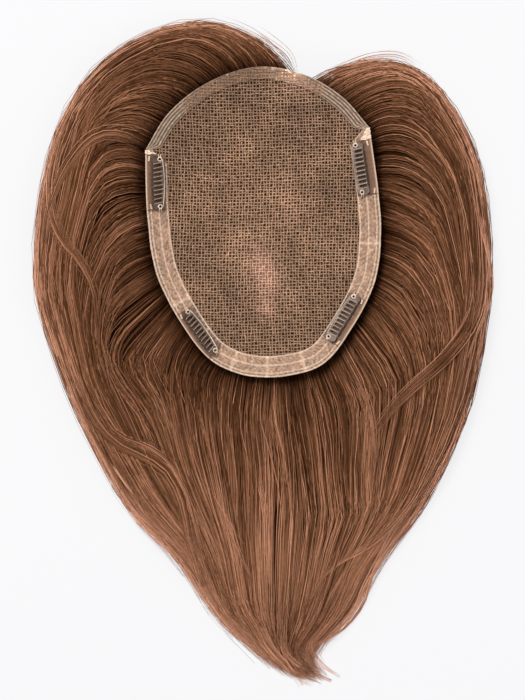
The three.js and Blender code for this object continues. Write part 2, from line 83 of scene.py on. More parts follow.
# How the hair flows: a row for each of a few strands on a side, from the notch at the front to the middle of
# the back. root is its bearing on the rim in degrees. The three arcs that follow are places further along it,
# as the turn round the base in degrees and the share of the way from the rim to the outline. hip, hem and
# taper are its place across the hair at three levels. room is the share of the side's hair before it
FLOW_LEVELS = (-0.41, -0.645, -0.86)
FLOW_COLUMNS = (
    "root", "turn_1", "out_1", "turn_2", "out_2", "turn_3", "out_3", "hip", "hem", "taper", "room"
)
FLOW = {
    "left": [
        (79, 8, 0.79, 24, 0.95, 131, 0.985, 0.002, 0.005, 0.01, 0),
        (92, 4, 0.45, 14, 0.83, 118, 0.95, 0.012, 0.016, 0.02, 0.06),
        (105, 3, 0.26, 13, 0.73, 105, 0.91, 0.025, 0.035, 0.03, 0.12),
        (120, 4, 0.34, 18, 0.58, 88, 0.87, 0.04, 0.08, 0.045, 0.19),
        (132, 3, 0.3, 17, 0.62, 76, 0.83, 0.05, 0.1, 0.055, 0.25),
        (145, 1, 0.32, 9, 0.58, 62, 0.79, 0.062, 0.12, 0.065, 0.31),
        (160, 1, 0.22, 9, 0.46, 47, 0.75, 0.075, 0.135, 0.075, 0.37),
        (175, 3, 0.14, 13, 0.4, 33, 0.7, 0.09, 0.15, 0.085, 0.43),
        (192, 1, 0.17, 7, 0.4, 20, 0.64, 0.12, 0.17, 0.095, 0.51),
        (211, 1, 0.21, 1, 0.5, 10, 0.63, 0.165, 0.19, 0.115, 0.6),
        (222, 2, 0.13, 2, 0.37, 3, 0.53, 0.19, 0.215, 0.13, 0.65),
        (229, 1, 0.13, 1, 0.25, 2, 0.39, 0.225, 0.23, 0.145, 0.69),
        (237, 0, 0.1, 2, 0.23, 5, 0.33, 0.256, 0.252, 0.165, 0.74),
        (248, -3, 0.06, -3, 0.12, -2, 0.18, 0.3, 0.285, 0.2, 0.81),
        (261, 0, 0.03, 0, 0.07, 0, 0.1, 0.41, 0.35, 0.26, 0.92),
        (271, 0, 0.03, 0, 0.06, 0, 0.08, 0.48, 0.455, 0.36, 1),
    ],
    "right": [
        (71, 8, 0.9, 18, 0.97, 100, 0.985, 0.998, 0.994, 0.965, 0),
        (64, 4, 0.5, 12, 0.88, 92, 0.955, 0.99, 0.984, 0.95, 0.05),
        (56, 3, 0.4, 12, 0.86, 82, 0.92, 0.983, 0.975, 0.935, 0.11),
        (47, 3, 0.4, 15, 0.7, 70, 0.87, 0.97, 0.965, 0.92, 0.17),
        (34, 2, 0.24, 12, 0.5, 54, 0.82, 0.958, 0.955, 0.905, 0.24),
        (13, 4, 0.15, 12, 0.44, 38, 0.79, 0.945, 0.945, 0.89, 0.31),
        (-2, 4, 0.29, 12, 0.56, 27, 0.76, 0.93, 0.935, 0.875, 0.38),
        (-22, 0, 0.26, 6, 0.5, 14, 0.62, 0.895, 0.915, 0.86, 0.49),
        (-33, 0, 0.24, 5, 0.45, 12, 0.57, 0.873, 0.895, 0.84, 0.55),
        (-47, 1, 0.15, 2, 0.3, 5, 0.42, 0.825, 0.868, 0.81, 0.62),
        (-57, 1, 0.14, 2, 0.24, 3, 0.32, 0.75, 0.835, 0.77, 0.69),
        (-68, 0, 0.08, 0, 0.14, 0, 0.19, 0.67, 0.768, 0.7, 0.78),
        (-79, 0, 0.04, 0, 0.07, 0, 0.1, 0.585, 0.656, 0.575, 0.89),
        (-89, 0, 0.03, 0, 0.06, 0, 0.08, 0.48, 0.455, 0.36, 1),
    ],
}
SENSE = {"left": 1, "right": -1}
# The tail's tip curls to the right: middle of the hair and how far it spreads at each level
TIP_ROWS = [(13, -264, 27), (19, -273, 18), (32, -279, 10), (44, -281, 5)]


def centripetal(shares, across, along, closed=False, steps=16):
    """The centripetal Catmull-Rom curve through a table of shares, as close points."""
    rows = [(x * across, y * (along if np.isscalar(along) else along[y < 0])) for x, y in shares]
    p = np.array(rows, float)
    if closed:
        p = np.vstack([p[-1:], p, p[:2]])
    else:
        p = np.vstack([2 * p[:1] - p[1:2], p, 2 * p[-1:] - p[-2:-1]])
    t = np.linspace(0, 1, steps, endpoint=False)[:, None]
    out = []
    for a, b, c, d in zip(p, p[1:], p[2:], p[3:]):
        ab, bc, cd = (np.linalg.norm(v) ** 0.5 for v in (b - a, c - b, d - c))
        start = ((b - a) / ab - (c - a) / (ab + bc) + (c - b) / bc) * bc
        end = ((c - b) / bc - (d - b) / (bc + cd) + (d - c) / cd) * bc
        out.append(
            b * (2 * t**3 - 3 * t**2 + 1) + start * (t**3 - 2 * t**2 + t)
            + c * (3 * t**2 - 2 * t**3) + end * (t**3 - t**2)
        )
    if not closed:
        out.append(p[-2:-1])
    return np.vstack(out)


def distances(points):
    """Distance along a line at each of its points."""
    return np.concatenate([[0], np.cumsum(np.linalg.norm(np.diff(points, axis=0), axis=1))])


def look_up(at, known, points):
    """Points of a line at some places, when the places of its own points are known."""
    return np.stack([np.interp(at, known, column) for column in points.T], -1)


class Line:
    """A line in plan that is walked by distance."""

    def __init__(self, points):
        self.points = points
        self.along = distances(points)
        self.length = self.along[-1]

    def at(self, distance):
        return look_up(distance, self.along, self.points)

    def ways(self, distance):
        """Unit vectors along the line and outwards from the base."""
        along = self.at(np.minimum(distance + 0.5, self.length)) - self.at(np.maximum(distance - 0.5, 0))
        along /= np.linalg.norm(along, axis=-1, keepdims=True)
        out = np.stack([along[..., 1], -along[..., 0]], -1)
        return along, out * np.sign((out * self.at(distance)).sum(-1, keepdims=True))

    def beside(self, distance, inset):
        return self.at(distance) - self.ways(distance)[1] * np.asarray(inset)[..., None]


back_rim = Line(centripetal(BACK_RIM, HALF_WIDTH, HALF_LENGTH))
front_rim = Line(centripetal(FRONT_RIM, HALF_WIDTH, HALF_LENGTH))
rim = np.vstack([back_rim.points[:-1], front_rim.points[:-1]])
hair_edge = centripetal(HAIR_OUTLINE, HAIR_HALF_WIDTH, (FRONT_REACH, TAIL_REACH), closed=True)


def reach(outline, bearing):
    """Distance from the middle of the base to an outline at a bearing in radians."""
    return np.interp(
        bearing, np.arctan2(outline[:, 1], outline[:, 0]), np.hypot(*outline.T), period=2 * math.pi
    )


def past_rim(x, y):
    """How far a place lies outside the rim. Inside it is negative."""
    return np.hypot(x, y) - reach(rim, np.arctan2(y, x))


def hair_span(y):
    """Left and right ends of the hair at one level."""
    a, b = hair_edge, np.roll(hair_edge, -1, axis=0)
    crosses = (a[:, 1] > y) != (b[:, 1] > y)
    share = (y - a[crosses, 1]) / (b[crosses, 1] - a[crosses, 1])
    x = a[crosses, 0] + share * (b[crosses, 0] - a[crosses, 0])
    return x.min(), x.max()


def net_top(x, y):
    return BOWL_FLOOR + BOWL_DEPTH * ((x / HALF_WIDTH) ** 2 + (y / HALF_LENGTH) ** 2)


def smooth_step(x, low, high):
    t = np.clip((x - low) / (high - low), 0, 1)
    return t * t * (3 - 2 * t)


class DepthInHair:
    """How far a place lies inside the hair's outline, looked up on a grid. Outside it is negative."""

    STEP = 2.0
    MARGIN = 24.0

    def __init__(self):
        low, high = hair_edge.min(0) - self.MARGIN, hair_edge.max(0) + self.MARGIN
        self.low = low
        columns, rows = (np.arange(low[i], high[i] + self.STEP, self.STEP) for i in (0, 1))
        x, y = np.meshgrid(columns, rows, indexing="ij")
        near = np.full(x.shape, np.inf)
        for point in hair_edge[::2]:
            near = np.minimum(near, np.hypot(x - point[0], y - point[1]))
        inside = np.hypot(x, y) < reach(hair_edge, np.arctan2(y, x))
        self.depth = np.where(inside, near, -near)

    def __call__(self, x, y):
        gx = np.clip((x - self.low[0]) / self.STEP, 0, self.depth.shape[0] - 1.001)
        gy = np.clip((y - self.low[1]) / self.STEP, 0, self.depth.shape[1] - 1.001)
        i, j = gx.astype(int), gy.astype(int)
        u, v = gx - i, gy - j
        d = self.depth
        return (
            d[i, j] * (1 - u) * (1 - v) + d[i + 1, j] * u * (1 - v)
            + d[i, j + 1] * (1 - u) * v + d[i + 1, j + 1] * u * v
        )


depth_in_hair = DepthInHair()


def hair_top(x, y):
    """Top of the hair: full beside the base, lower where it leaves the rim, rounded down at its edge."""
    levels = [v * (FRONT_REACH if v > 0 else TAIL_REACH) for v in LOFT_LEVELS]
    loft = np.interp(y, levels, [s * HAIR_LOFT for s in LOFT_SHARES])
    flat = np.clip(depth_in_hair(x, y) / EDGE_ROLL, 0, 1)
    rolled = EDGE_LOFT + (1 - EDGE_LOFT) * np.sqrt(1 - (1 - flat) ** 2)
    past = np.maximum(past_rim(x, y), 0)
    dip = RIM_DIP * np.maximum(1 - past / RIM_DIP_REACH, 0) ** 2
    return loft * rolled - dip * rolled


def under_net(x, y, gap):
    """The height that lies a gap under the net, and far above where there is no net."""
    return np.where(past_rim(x, y) < NET_OVERHANG, net_top(x, y) - gap, NO_CEILING)


def place(points):
    return (np.asarray(points, float) + (*BASE_MIDDLE, 0)) * MM


def add_object(name, data):
    obj = bpy.data.objects.new(name, data)
    bpy.context.scene.collection.objects.link(obj)
    return obj


def piece(name, points, faces, material, tint):
    """A smooth mesh object on the part, with polygons in one or more arrays and a tint for each point."""
    mesh = bpy.data.meshes.new(name)
    groups = faces if isinstance(faces, list) else [faces]
    corners = np.concatenate([g.ravel() for g in groups]).astype(np.int32)
    sizes = np.concatenate([np.full(len(g), g.shape[1]) for g in groups]).astype(np.int32)
    mesh.vertices.add(len(points))
    mesh.vertices.foreach_set("co", place(points).astype(np.float32).ravel())
    mesh.loops.add(len(corners))
    mesh.loops.foreach_set("vertex_index", corners)
    mesh.polygons.add(len(sizes))
    mesh.polygons.foreach_set("loop_start", np.concatenate([[0], np.cumsum(sizes)[:-1]]).astype(np.int32))
    mesh.polygons.foreach_set("loop_total", sizes)
    mesh.update(calc_edges=True)
    mesh.polygons.foreach_set("use_smooth", np.ones(len(sizes), bool))
    colours = mesh.color_attributes.new("tint", "FLOAT_COLOR", "POINT")
    rgba = np.ones((len(points), 4), np.float32)
    rgba[:, :3] = tint
    colours.data.foreach_set("color", rgba.ravel())
    mesh.materials.append(material)
    obj = add_object(name, mesh)
    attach(obj, "root")
    return obj


def grid_faces(rows, columns, wrap=False):
    """Quads between the points of a grid stored row by row. wrap joins the last column to the first."""
    r, c = np.meshgrid(np.arange(rows - 1), np.arange(columns if wrap else columns - 1), indexing="ij")
    a, b = r * columns + c, r * columns + (c + 1) % columns
    return np.stack([a, b, b + columns, a + columns], -1).reshape(-1, 4)


# Hairs and net threads are flattened tubes with so many sides
STRAND_SIDES = 3
STRAND_FLATNESS = 0.8


def tubes(paths, radii, sides, flat=1.0, turn=None):
    """Closed tubes along many paths at once: paths is (tubes, points, 3), radii (tubes, points)."""
    count, steps = radii.shape
    along = np.gradient(paths, axis=1)
    along /= np.linalg.norm(along, axis=-1, keepdims=True) + 1e-9
    side = np.cross(along, (0, 0, 1.0))
    side /= np.linalg.norm(side, axis=-1, keepdims=True) + 1e-9
    up = np.cross(side, along)
    angle = np.arange(sides) / sides * 2 * math.pi + math.pi / 2
    angle = angle[None, None] + (0 if turn is None else turn[:, None, None])
    ring = (
        side[:, :, None] * np.cos(angle)[..., None] + up[:, :, None] * (flat * np.sin(angle))[..., None]
    )
    points = paths[:, :, None] + ring * radii[:, :, None, None]
    one = grid_faces(steps, sides, wrap=True)[:, ::-1]
    start = (np.arange(count) * steps * sides)[:, None, None]
    walls = (one[None] + start).reshape(-1, 4)
    first = np.arange(sides)
    last = (first + (steps - 1) * sides)[::-1]
    caps = (np.stack([first, last])[None] + start).reshape(-1, sides)
    return points.reshape(-1, 3), [walls, caps]


def even(line, count):
    """The same line through count points at equal distances."""
    along = distances(line)
    return look_up(np.linspace(0, along[-1], count), along, line)


GUIDE_POINTS = 90
GUIDE_SMOOTHING = 9
ARC_STEP = 9.0
LEAST_DROP = 14.0
# Below its hem the hair draws in: the level and the sides of the waist
WAIST_LEVEL = -205.0
WAIST_LEFT = -49.0
WAIST_RIGHT = 73.0


def guide(side, row, root_in):
    """The way of a tuft in plan: from under the rim, round the base, down the tail and into its curl."""
    turns = [0, 0, row["turn_1"], row["turn_2"], row["turn_3"]]
    outs = [-root_in, 0.02, row["out_1"], row["out_2"], row["out_3"]]
    last = 2 + int(abs(row["turn_3"] - row["turn_2"]) / ARC_STEP)
    at = np.concatenate([[0, 1, 2], np.linspace(2, 3, 4)[1:], 3 + np.linspace(0, 1, last)[1:]])
    turned, out = np.interp(at, range(5), turns), np.interp(at, range(5), outs)
    bearing = np.radians(row["root"] + SENSE[side] * turned)
    inner, outer = reach(rim, bearing), reach(hair_edge, bearing)
    radius = np.where(out < 0, inner * (1 + out), inner + out * (outer - inner))
    line = [*np.stack([radius * np.cos(bearing), radius * np.sin(bearing)], -1)]
    for level, key in zip(FLOW_LEVELS, ("hip", "hem", "taper")):
        left, right = hair_span(level * TAIL_REACH)
        if key == "taper":
            waist = (row["hem"] + row["taper"]) / 2
            line.append((WAIST_LEFT + (WAIST_RIGHT - WAIST_LEFT) * waist, WAIST_LEVEL))
        if line[-1][1] > level * TAIL_REACH + LEAST_DROP:
            line.append((left + (right - left) * row[key], level * TAIL_REACH))
    line += [(x + (row["taper"] - 0.5) * wide, y) for x, y, wide in TIP_ROWS]
    line = even(np.array(line), GUIDE_POINTS)
    for _ in range(GUIDE_SMOOTHING):
        line[1:-1] += 0.25 * (line[:-2] - 2 * line[1:-1] + line[2:])
    return even(line, GUIDE_POINTS)


# Hair rooted further back lies over hair from the front, by this many millimetres
OVERLAP = 2.4
# How much locks differ, and the tufts in them: standard deviations of root, place, height and light
LOCK_SPREAD = {"out": 0.02, "shift": 0.006, "lift": 0.8, "light": 0.14}
TUFT_SPREAD = {"root": 1.4, "out": 0.018, "shift": 0.004, "lift": 0.4, "light": 0.18}
# On the left, most hair from the front ends before the tail. Of the rest, some ends early
SHORT_UNTIL = 0.17
SHORT_SHARE = 0.6
EARLY_SHARE = 0.45


def spread(low, high):
    return random.uniform(low, high)


def flow_at(side, where):
    """The flow's columns at a place in the side's hair, 0 at the notch and 1 at the middle of the back."""
    table = np.array(FLOW[side])
    return {key: np.interp(where, table[:, -1], table[:, i]) for i, key in enumerate(FLOW_COLUMNS)}


def tuft_rows(side, first, last, locks, tufts_a_lock):
    """Tufts in locks: their place in the flow, how high they lie, how long and how light they are."""
    rows = []
    for lock in range(locks):
        of_lock = {key: random.normal(0, sigma) for key, sigma in LOCK_SPREAD.items()}
        lock_end = spread(0.93, 1)
        for _ in range(tufts_a_lock):
            off = spread(-0.8, 0.8)
            where = np.clip(first + (last - first) * (lock + 0.5 + off) / locks, 0, 1)
            row = flow_at(side, where)
            row["root"] += random.normal(0, TUFT_SPREAD["root"])
            inner = min(8 * where, 1)
            for key in ("out_1", "out_2", "out_3"):
                more = of_lock["out"] + random.normal(0, TUFT_SPREAD["out"])
                row[key] = min(row[key] + inner * more, 0.99)
            shift = of_lock["shift"] * inner + random.normal(0, TUFT_SPREAD["shift"])
            for key in ("hip", "hem", "taper"):
                row[key] = np.clip(row[key] + shift, 0.002, 0.998)
            if side == "left" and where < SHORT_UNTIL and random.random() < SHORT_SHARE:
                stop = spread(0.72, 0.88)
            else:
                stop = spread(0.78, 0.95) if random.random() < EARLY_SHARE else spread(0.92, 1)
            lift = of_lock["lift"] + OVERLAP * (where - 0.5) - off**2
            row.update(
                side=side,
                lift=lift + random.normal(0, TUFT_SPREAD["lift"]),
                light=of_lock["light"] + random.normal(0, TUFT_SPREAD["light"]),
                end=lock_end * stop,
            )
            rows.append(row)
    return rows


# Colours of hair, linear. Where it is darker it is also redder: WARMTH holds a power for each channel
HAIR_BROWN = np.array([0.235, 0.096, 0.044])
HAIR_COPPER = np.array([0.34, 0.150, 0.079])
WARMTH = np.array([1.0, 1.15, 1.35])
STRAND_CONTRAST = 0.62
DEPTH_SHADE = 5.0
# The base throws a shade on the hair round it, which reaches further behind it
RIM_SHADE = 0.74
RIM_SHADE_REACH = 8.0
BACK_SHADE_REACH = 9.0
BACK_BEARING = -92
BACK_WIDTH = 42
# The tail is lighter, and the edge, to this depth, is lighter as painted light that comes through the thin
# hair
TAIL_LIGHT = 0.6
EDGE_LIGHT = 0.3
EDGE_DEPTH = 15
MOST_LIGHT = 2.6
DRIFT_FADE = 16
# Where the hair catches or loses the light: x, y, bearing of the streak, its length and width, and the gain
STREAKS = [
    (2, -165, -92, 75, 5, 0.5), (-27, -125, -86, 26, 4, 0.55), (-58, -122, -62, 20, 4.5, 0.5),
    (62, -115, -72, 34, 4, 0.5), (62, -180, -100, 34, 4, 0.45), (-22, -185, -70, 34, 4, 0.55),
    (22, -215, -80, 45, 13, 0.3), (-8, -235, -60, 30, 9, 0.25), (-74, 3, -140, 30, 9, 0.5),
    (-92, 12, -130, 20, 7, 0.3), (-30, 108, 170, 30, 7, 0.25), (78, 90, 165, 26, 5, 0.35),
    (-8, 103, 90, 12, 16, -0.45), (-95, 62, -140, 10, 6, -0.6), (75, -5, -20, 16, 14, -0.4),
    (-42, -92, -60, 26, 12, -0.4), (-88, -150, -52, 28, 6, -0.5), (-72, 96, 160, 60, 26, -0.6),
    (-118, 28, -95, 30, 5, -0.3), (110, -85, -110, 8, 5, -0.5), (-100, -20, 90, 60, 30, -0.15),
    (125, -66, -70, 7, 3, -0.9),
]


def drift_of(points):
    """A slow wave that all hair shares, so that neighbours stay together."""
    x, y = points[..., 0], points[..., 1]
    wave = 2.2 * np.sin(0.047 * x + 0.031 * y + 1.3) + 1.5 * np.sin(0.071 * y - 0.052 * x)
    return wave * np.clip(depth_in_hair(x, y) / DRIFT_FADE, 0, 1)


def streak_light(x, y):
    gain = np.zeros_like(x)
    for sx, sy, bearing, length, width, amount in STREAKS:
        cos, sin = math.cos(math.radians(bearing)), math.sin(math.radians(bearing))
        along, across = (x - sx) * cos + (y - sy) * sin, (y - sy) * cos - (x - sx) * sin
        gain += amount * np.exp(-((along / length) ** 2) - (across / width) ** 2)
    return gain


def hair_tint(x, y, light, copper, deep):
    """The colour along strands: painted shade under the rim and deep down, painted light in streaks, and
    copper painted light at the edge, where the light comes through.
    """
    bearing = np.arctan2(y, x)
    past = np.maximum(past_rim(x, y), 0)
    edge = 1 - smooth_step(depth_in_hair(x, y), 0, EDGE_DEPTH)
    behind = np.exp(-(((np.degrees(bearing) - BACK_BEARING) / BACK_WIDTH) ** 2))
    shade = 1 - RIM_SHADE * np.exp(-past / (RIM_SHADE_REACH + BACK_SHADE_REACH * behind))
    light = light + streak_light(x, y) + TAIL_LIGHT * smooth_step(-y, 90, 230)
    light = np.exp(light) * shade * np.exp(-deep * (1 - edge) / DEPTH_SHADE)
    light = np.minimum(light * (1 + EDGE_LIGHT * edge), MOST_LIGHT)[..., None]
    red = np.clip(edge * (0.25 + 1.1 * copper) + 0.4 * copper, 0, 1)[..., None]
    return (HAIR_BROWN * (1 - red) + HAIR_COPPER * red) * light**WARMTH


# Strands keep so far from the floor and from the net over them, and are lit as if at most so deep
FLOOR_GAP = 0.5
LOW_NET_GAP = 4.0
TOP_NET_GAP = 3.0
MOST_DEEP = 14
MOST_SHADED = 8
LOW_SHADED = 2.0
ROOT_HEIGHT = 28.0
ROOT_PART = 0.08


def ways_of(line):
    """Unit vectors along a line in plan."""
    way = np.gradient(line, axis=0)
    return way / np.linalg.norm(way, axis=1, keepdims=True)


def sideways(line):
    """Unit vectors across a line in plan."""
    way = ways_of(line)
    return np.stack([-way[:, 1], way[:, 0]], -1)


def steps_along(line, steps):
    """Places along a line, 0 to 1: closer together at its root and where it turns."""
    turning = np.linalg.norm(np.diff(ways_of(line), axis=0), axis=1)
    weight = 1 / len(turning) + 1.2 * turning / turning.sum()
    weight[: int(ROOT_PART * len(weight))] += 1.5 / len(weight)
    at = np.concatenate([[0], np.cumsum(weight)])
    return np.interp(np.linspace(0, at[-1], steps), at, np.linspace(0, 1, len(at)))


def tapered(at, thick):
    """The radius of a strand from its root, 0, to its tip, 1."""
    return 0.5 * thick * (0.7 + 0.3 * smooth_step(at, 0, 0.1)) * (1 - 0.75 * smooth_step(at, 0.6, 1))


def low_heights(x, y, step, deep):
    return FLOOR_GAP + deep * (0.3 + step) * np.minimum(hair_top(x, y) / HAIR_LOFT, 1)


def top_heights(x, y, step, deep, lift, phase):
    """Heights of strands near the top of the hair. A root is just under the rim, however low the hair is."""
    top = hair_top(x, y)
    z = top * (1 - np.minimum(deep, MOST_DEEP) / HAIR_LOFT) + lift * np.minimum(top / 12, 1)
    z = z + 0.5 * np.sin(step * 9 + phase)
    near = (1 - smooth_step(past_rim(x, y), 2, 24)) * (step < 0.35)
    return z + near * np.maximum(ROOT_HEIGHT - 0.5 * deep - z, 0)


def strands(rows, a_tuft, steps, thick, depth, root_in, low=False):
    """Strands in tufts. depth is how deep they lie under the top of the hair on average, in millimetres."""
    plans, lifts, radii, lights, coppers, places = [], [], [], [], [], []
    share = np.linspace(0, 1, GUIDE_POINTS)
    ramp = smooth_step(share, 0.02, 0.2)
    gather = 1 - 0.3 * smooth_step(share, 0.15, 0.5) + 0.5 * smooth_step(share, 0.6, 1)
    for row in rows:
        line = guide(row["side"], row, spread(*root_in))
        across = sideways(line)
        line = line + across * (drift_of(line) * ramp * (1 - 0.5 * share))[:, None]
        width = spread(1.4, 4.4)
        step = steps_along(line, steps)
        for _ in range(a_tuft):
            offset = width * random.normal(0, 0.6)
            wander = spread(0.1, 0.7) * np.sin(share * spread(3, 9) + spread(0, 6.3))
            plan = line + across * (offset * gather + wander * ramp)[:, None]
            at = step * row["end"] * (1 - abs(random.normal(0, 0.03)))
            plans.append(look_up(at, share, plan))
            lifts.append(row["lift"] * np.interp(at, share, ramp))
            radii.append(tapered(step, thick * spread(0.7, 1.3)))
            lights.append(row["light"] + random.normal(0, STRAND_CONTRAST))
            coppers.append(spread(0, 0.3) if random.random() < 0.7 else spread(0.4, 1))
            places.append(step)
    x, y = np.moveaxis(np.array(plans), -1, 0)
    step = np.array(places)
    deep = random.exponential(depth, (len(plans), 1))
    phase = random.uniform(0, 6.3, (len(plans), 1))
    if low:
        z = low_heights(x, y, step, deep)
        shaded = np.full_like(x, LOW_SHADED)
    else:
        z = top_heights(x, y, step, deep, np.array(lifts), phase)
        shaded = np.minimum(deep, MOST_SHADED) * np.ones_like(x)
    z = np.clip(z, FLOOR_GAP, under_net(x, y, LOW_NET_GAP if low else TOP_NET_GAP))
    tint = hair_tint(x, y, np.array(lights)[:, None], np.array(coppers)[:, None], shaded)
    return np.stack([x, y, z], -1), np.array(radii), tint


# Locks and wisps that lie across the flow or loose beside it, as the photograph shows them: points along the
# middle, how many hairs, how wide, how thick the hairs and how light
LOOSE_LOCKS = [
    ([(-124, 62), (-129, 40), (-131, 24), (-129, 5), (-121, -12), (-111, -24), (-103, -40), (-100, -62)],
     30, 3.6, 0.44, 0.3),
    ([(-69, 46), (-84, 53), (-95, 54), (-105, 50), (-119, 34), (-129, 12), (-133, -12)], 28, 2.8, 0.44, 0.3),
    ([(132, -20), (131, -47), (126, -62), (109, -84), (93, -98), (79, -112), (66, -130)],
     34, 3.4, 0.44, 0.15),
    ([(-114, -92), (-104, -117), (-95, -129), (-86, -136), (-73, -142), (-60, -150), (-50, -168), (-44, -196),
      (-36, -222)], 44, 3.4, 0.46, 0),
    ([(-100, -112), (-88, -128), (-74, -134), (-60, -142), (-48, -160), (-40, -186), (-34, -212)],
     24, 3, 0.44, 0.1),
    ([(104, -148), (90, -172), (76, -188), (62, -199), (47, -207), (35, -218), (27, -234)],
     20, 2.2, 0.36, 0.1),
    ([(129, 12), (136.5, -16), (140, -32), (139.5, -44), (134, -58), (124, -82)], 18, 0.9, 0.4, 0.5),
    ([(92, -172), (76, -196), (66.5, -215), (61, -234), (50, -248), (30, -260)], 18, 1.3, 0.42, 0.1),
    ([(84, -178), (70, -205), (61, -222), (54, -240), (40, -252)], 8, 1.0, 0.35, 0.3),
    ([(-92, -160), (-74, -184), (-60, -198), (-47, -207)], 14, 2.6, 0.3, 0.6),
    ([(-80, -172), (-62, -190), (-50, -200), (-43, -203)], 9, 2.2, 0.26, 0.7),
    ([(-52, -176), (-45, -196), (-41, -214), (-35, -231)], 2, 0.5, 0.3, 0.0),
    ([(-38, -154), (-28, -170), (-20, -184), (-12, -196)], 4, 1.2, 0.3, 0.5),
    # The next five short, light locks are painted highlights, where hair catches the light
    ([(-92, -147), (-84, -159), (-76, -169)], 9, 0.8, 0.42, 1.7),
    ([(-77, -170), (-72, -177), (-68, -183)], 6, 0.7, 0.4, 1.4),
    ([(62, -182), (58, -192), (52, -203)], 9, 0.9, 0.42, 1.4),
    ([(52, -210), (46, -220), (40, -230)], 8, 1.4, 0.42, 1.0),
    ([(24, -242), (22, -247), (20, -252)], 6, 0.9, 0.4, 1.3),
    ([(-41, -108), (-37, -122), (-33, -136), (-31, -146)], 9, 1.8, 0.42, 0.8),
    ([(-4, -150), (1, -176), (2, -200), (4, -224)], 12, 1.8, 0.42, 0.7),
    ([(-26, -172), (-20, -188), (-14, -204), (-8, -216)], 9, 1.2, 0.42, 0.9),
    ([(54, -92), (62, -108), (66, -126), (67, -150)], 12, 2.2, 0.42, 0.7),
    ([(10, -246), (14, -262), (26, -274), (42, -281)], 20, 1.6, 0.42, 0.1),
    ([(-4, -240), (4, -258), (16, -272), (24, -284)], 12, 2.2, 0.34, 0.2),
    ([(8, -250), (13, -266), (20, -277), (27, -284)], 8, 3.0, 0.3, 0.2),
    ([(30, -250), (30, -262), (37, -272), (47, -279)], 8, 1.6, 0.36, 0.1),
    ([(84, 101), (66, 100), (48, 95), (36, 89), (27, 84)], 16, 1.6, 0.3, 0.5),
    ([(98, 96), (84, 104), (68, 104), (50, 98), (34, 91)], 7, 1.4, 0.26, 0.5),
    ([(-6, 118), (6, 110), (15, 102), (19, 90)], 9, 2.4, 0.3, 0.6),
    ([(-26, 124), (-6, 116), (8, 104), (16, 90)], 5, 1.6, 0.26, 0.5),
]
LOOSE_STEPS = 16
LOOSE_RISE = 1.8


def loose_paths():
    plans, radii, lights = [], [], []
    share = np.linspace(0, 1, LOOSE_STEPS)
    for points, count, width, thick, light in LOOSE_LOCKS:
        line = even(centripetal(points, 1, 1, steps=8), LOOSE_STEPS)
        across = sideways(line)
        for _ in range(count):
            sway = 0.25 * np.sin(share * spread(2, 5) + spread(0, 6.3))
            offset = width * (random.normal(0, 0.6) * (1.2 - 0.6 * share) + sway)
            plans.append(line + across * offset[:, None])
            radii.append(tapered(share, thick * spread(0.7, 1.3)) * smooth_step(share, -0.02, 0.3))
            lights.append(light + random.normal(0, 0.55))
    return plans, radii, lights


# Single hairs that stand out along the outline, from strands beside it
HALO_HAIRS = 200
HALO_STEPS = 10


def halo_paths():
    plans, radii, lights = [], [], []
    share = np.linspace(0, 1, HALO_STEPS)
    for _ in range(HALO_HAIRS):
        side = "left" if random.random() < 0.5 else "right"
        line = guide(side, flow_at(side, spread(0, 0.04)), 0.03)
        start = spread(0.1, 0.85)
        at = start + share * spread(0.04, 0.11)
        plan = look_up(at, np.linspace(0, 1, GUIDE_POINTS), line)
        outwards = -SENSE[side] * sideways(plan)
        plans.append(plan + outwards * (spread(-0.5, 2.8) * np.sin(share * spread(1.2, 2.6)))[:, None])
        radii.append(tapered(share, spread(0.2, 0.34)))
        lights.append(random.normal(1.1, 0.2))
    return plans, radii, lights


def loose_hair(paths):
    """Loose hair that lies on top of the rest and, past the outline, on the floor."""
    plans, radii, lights = paths
    x, y = np.moveaxis(np.array(plans), -1, 0)
    rise = random.uniform(0.3, 1.4, (len(plans), 1)) * LOOSE_RISE
    z = hair_top(x, y) + rise * np.clip(depth_in_hair(x, y) / 6, 0.2, 1)
    tint = hair_tint(x, y, np.array(lights)[:, None], np.full((len(plans), 1), 0.6), np.zeros_like(x))
    return np.stack([x, y, np.maximum(z, FLOOR_GAP)], -1), np.array(radii), tint


def hair_piece(name, paths, radii, tint):
    turn = random.uniform(0, 2 * math.pi, len(radii))
    points, faces = tubes(paths, radii, STRAND_SIDES, STRAND_FLATNESS, turn)
    piece(name, points, faces, hair_material, np.repeat(tint.reshape(-1, 3), STRAND_SIDES, axis=0))


def set_inputs(node, **values):
    """Values for a node's inputs, whose names have _ for a space."""
    for socket, value in values.items():
        node.inputs[socket.replace("_", " ")].default_value = value


def shader(name, roughness, **sockets):
    """A new material with its nodes and its Principled shader."""
    material = bpy.data.materials.new(name)
    material.use_nodes = True
    nodes = material.node_tree.nodes
    principled = nodes["Principled BSDF"]
    set_inputs(principled, Roughness=roughness, **sockets)
    return material, nodes, material.node_tree.links, principled


def noise(nodes, links, scale, detail=4.0, stretch=(1, 1, 1)):
    """A noise over the place in space, stretched along the axes."""
    where = nodes.new("ShaderNodeTexCoord")
    mapping = nodes.new("ShaderNodeMapping")
    set_inputs(mapping, Scale=stretch)
    texture = nodes.new("ShaderNodeTexNoise")
    set_inputs(texture, Scale=scale, Detail=detail)
    links.new(where.outputs["Object"], mapping.inputs["Vector"])
    links.new(mapping.outputs["Vector"], texture.inputs["Vector"])
    return texture.outputs["Fac"]


def remap(nodes, links, value, low, high):
    """A noise turned into a factor between low and high."""
    node = nodes.new("ShaderNodeMapRange")
    set_inputs(node, From_Min=0.3, From_Max=0.7, To_Min=low, To_Max=high)
    links.new(value, node.inputs["Value"])
    return node.outputs["Result"]


def times(nodes, links, colour, factor):
    node = nodes.new("ShaderNodeVectorMath")
    node.operation = "SCALE"
    links.new(colour, node.inputs[0])
    links.new(factor, node.inputs["Scale"])
    return node.outputs["Vector"]


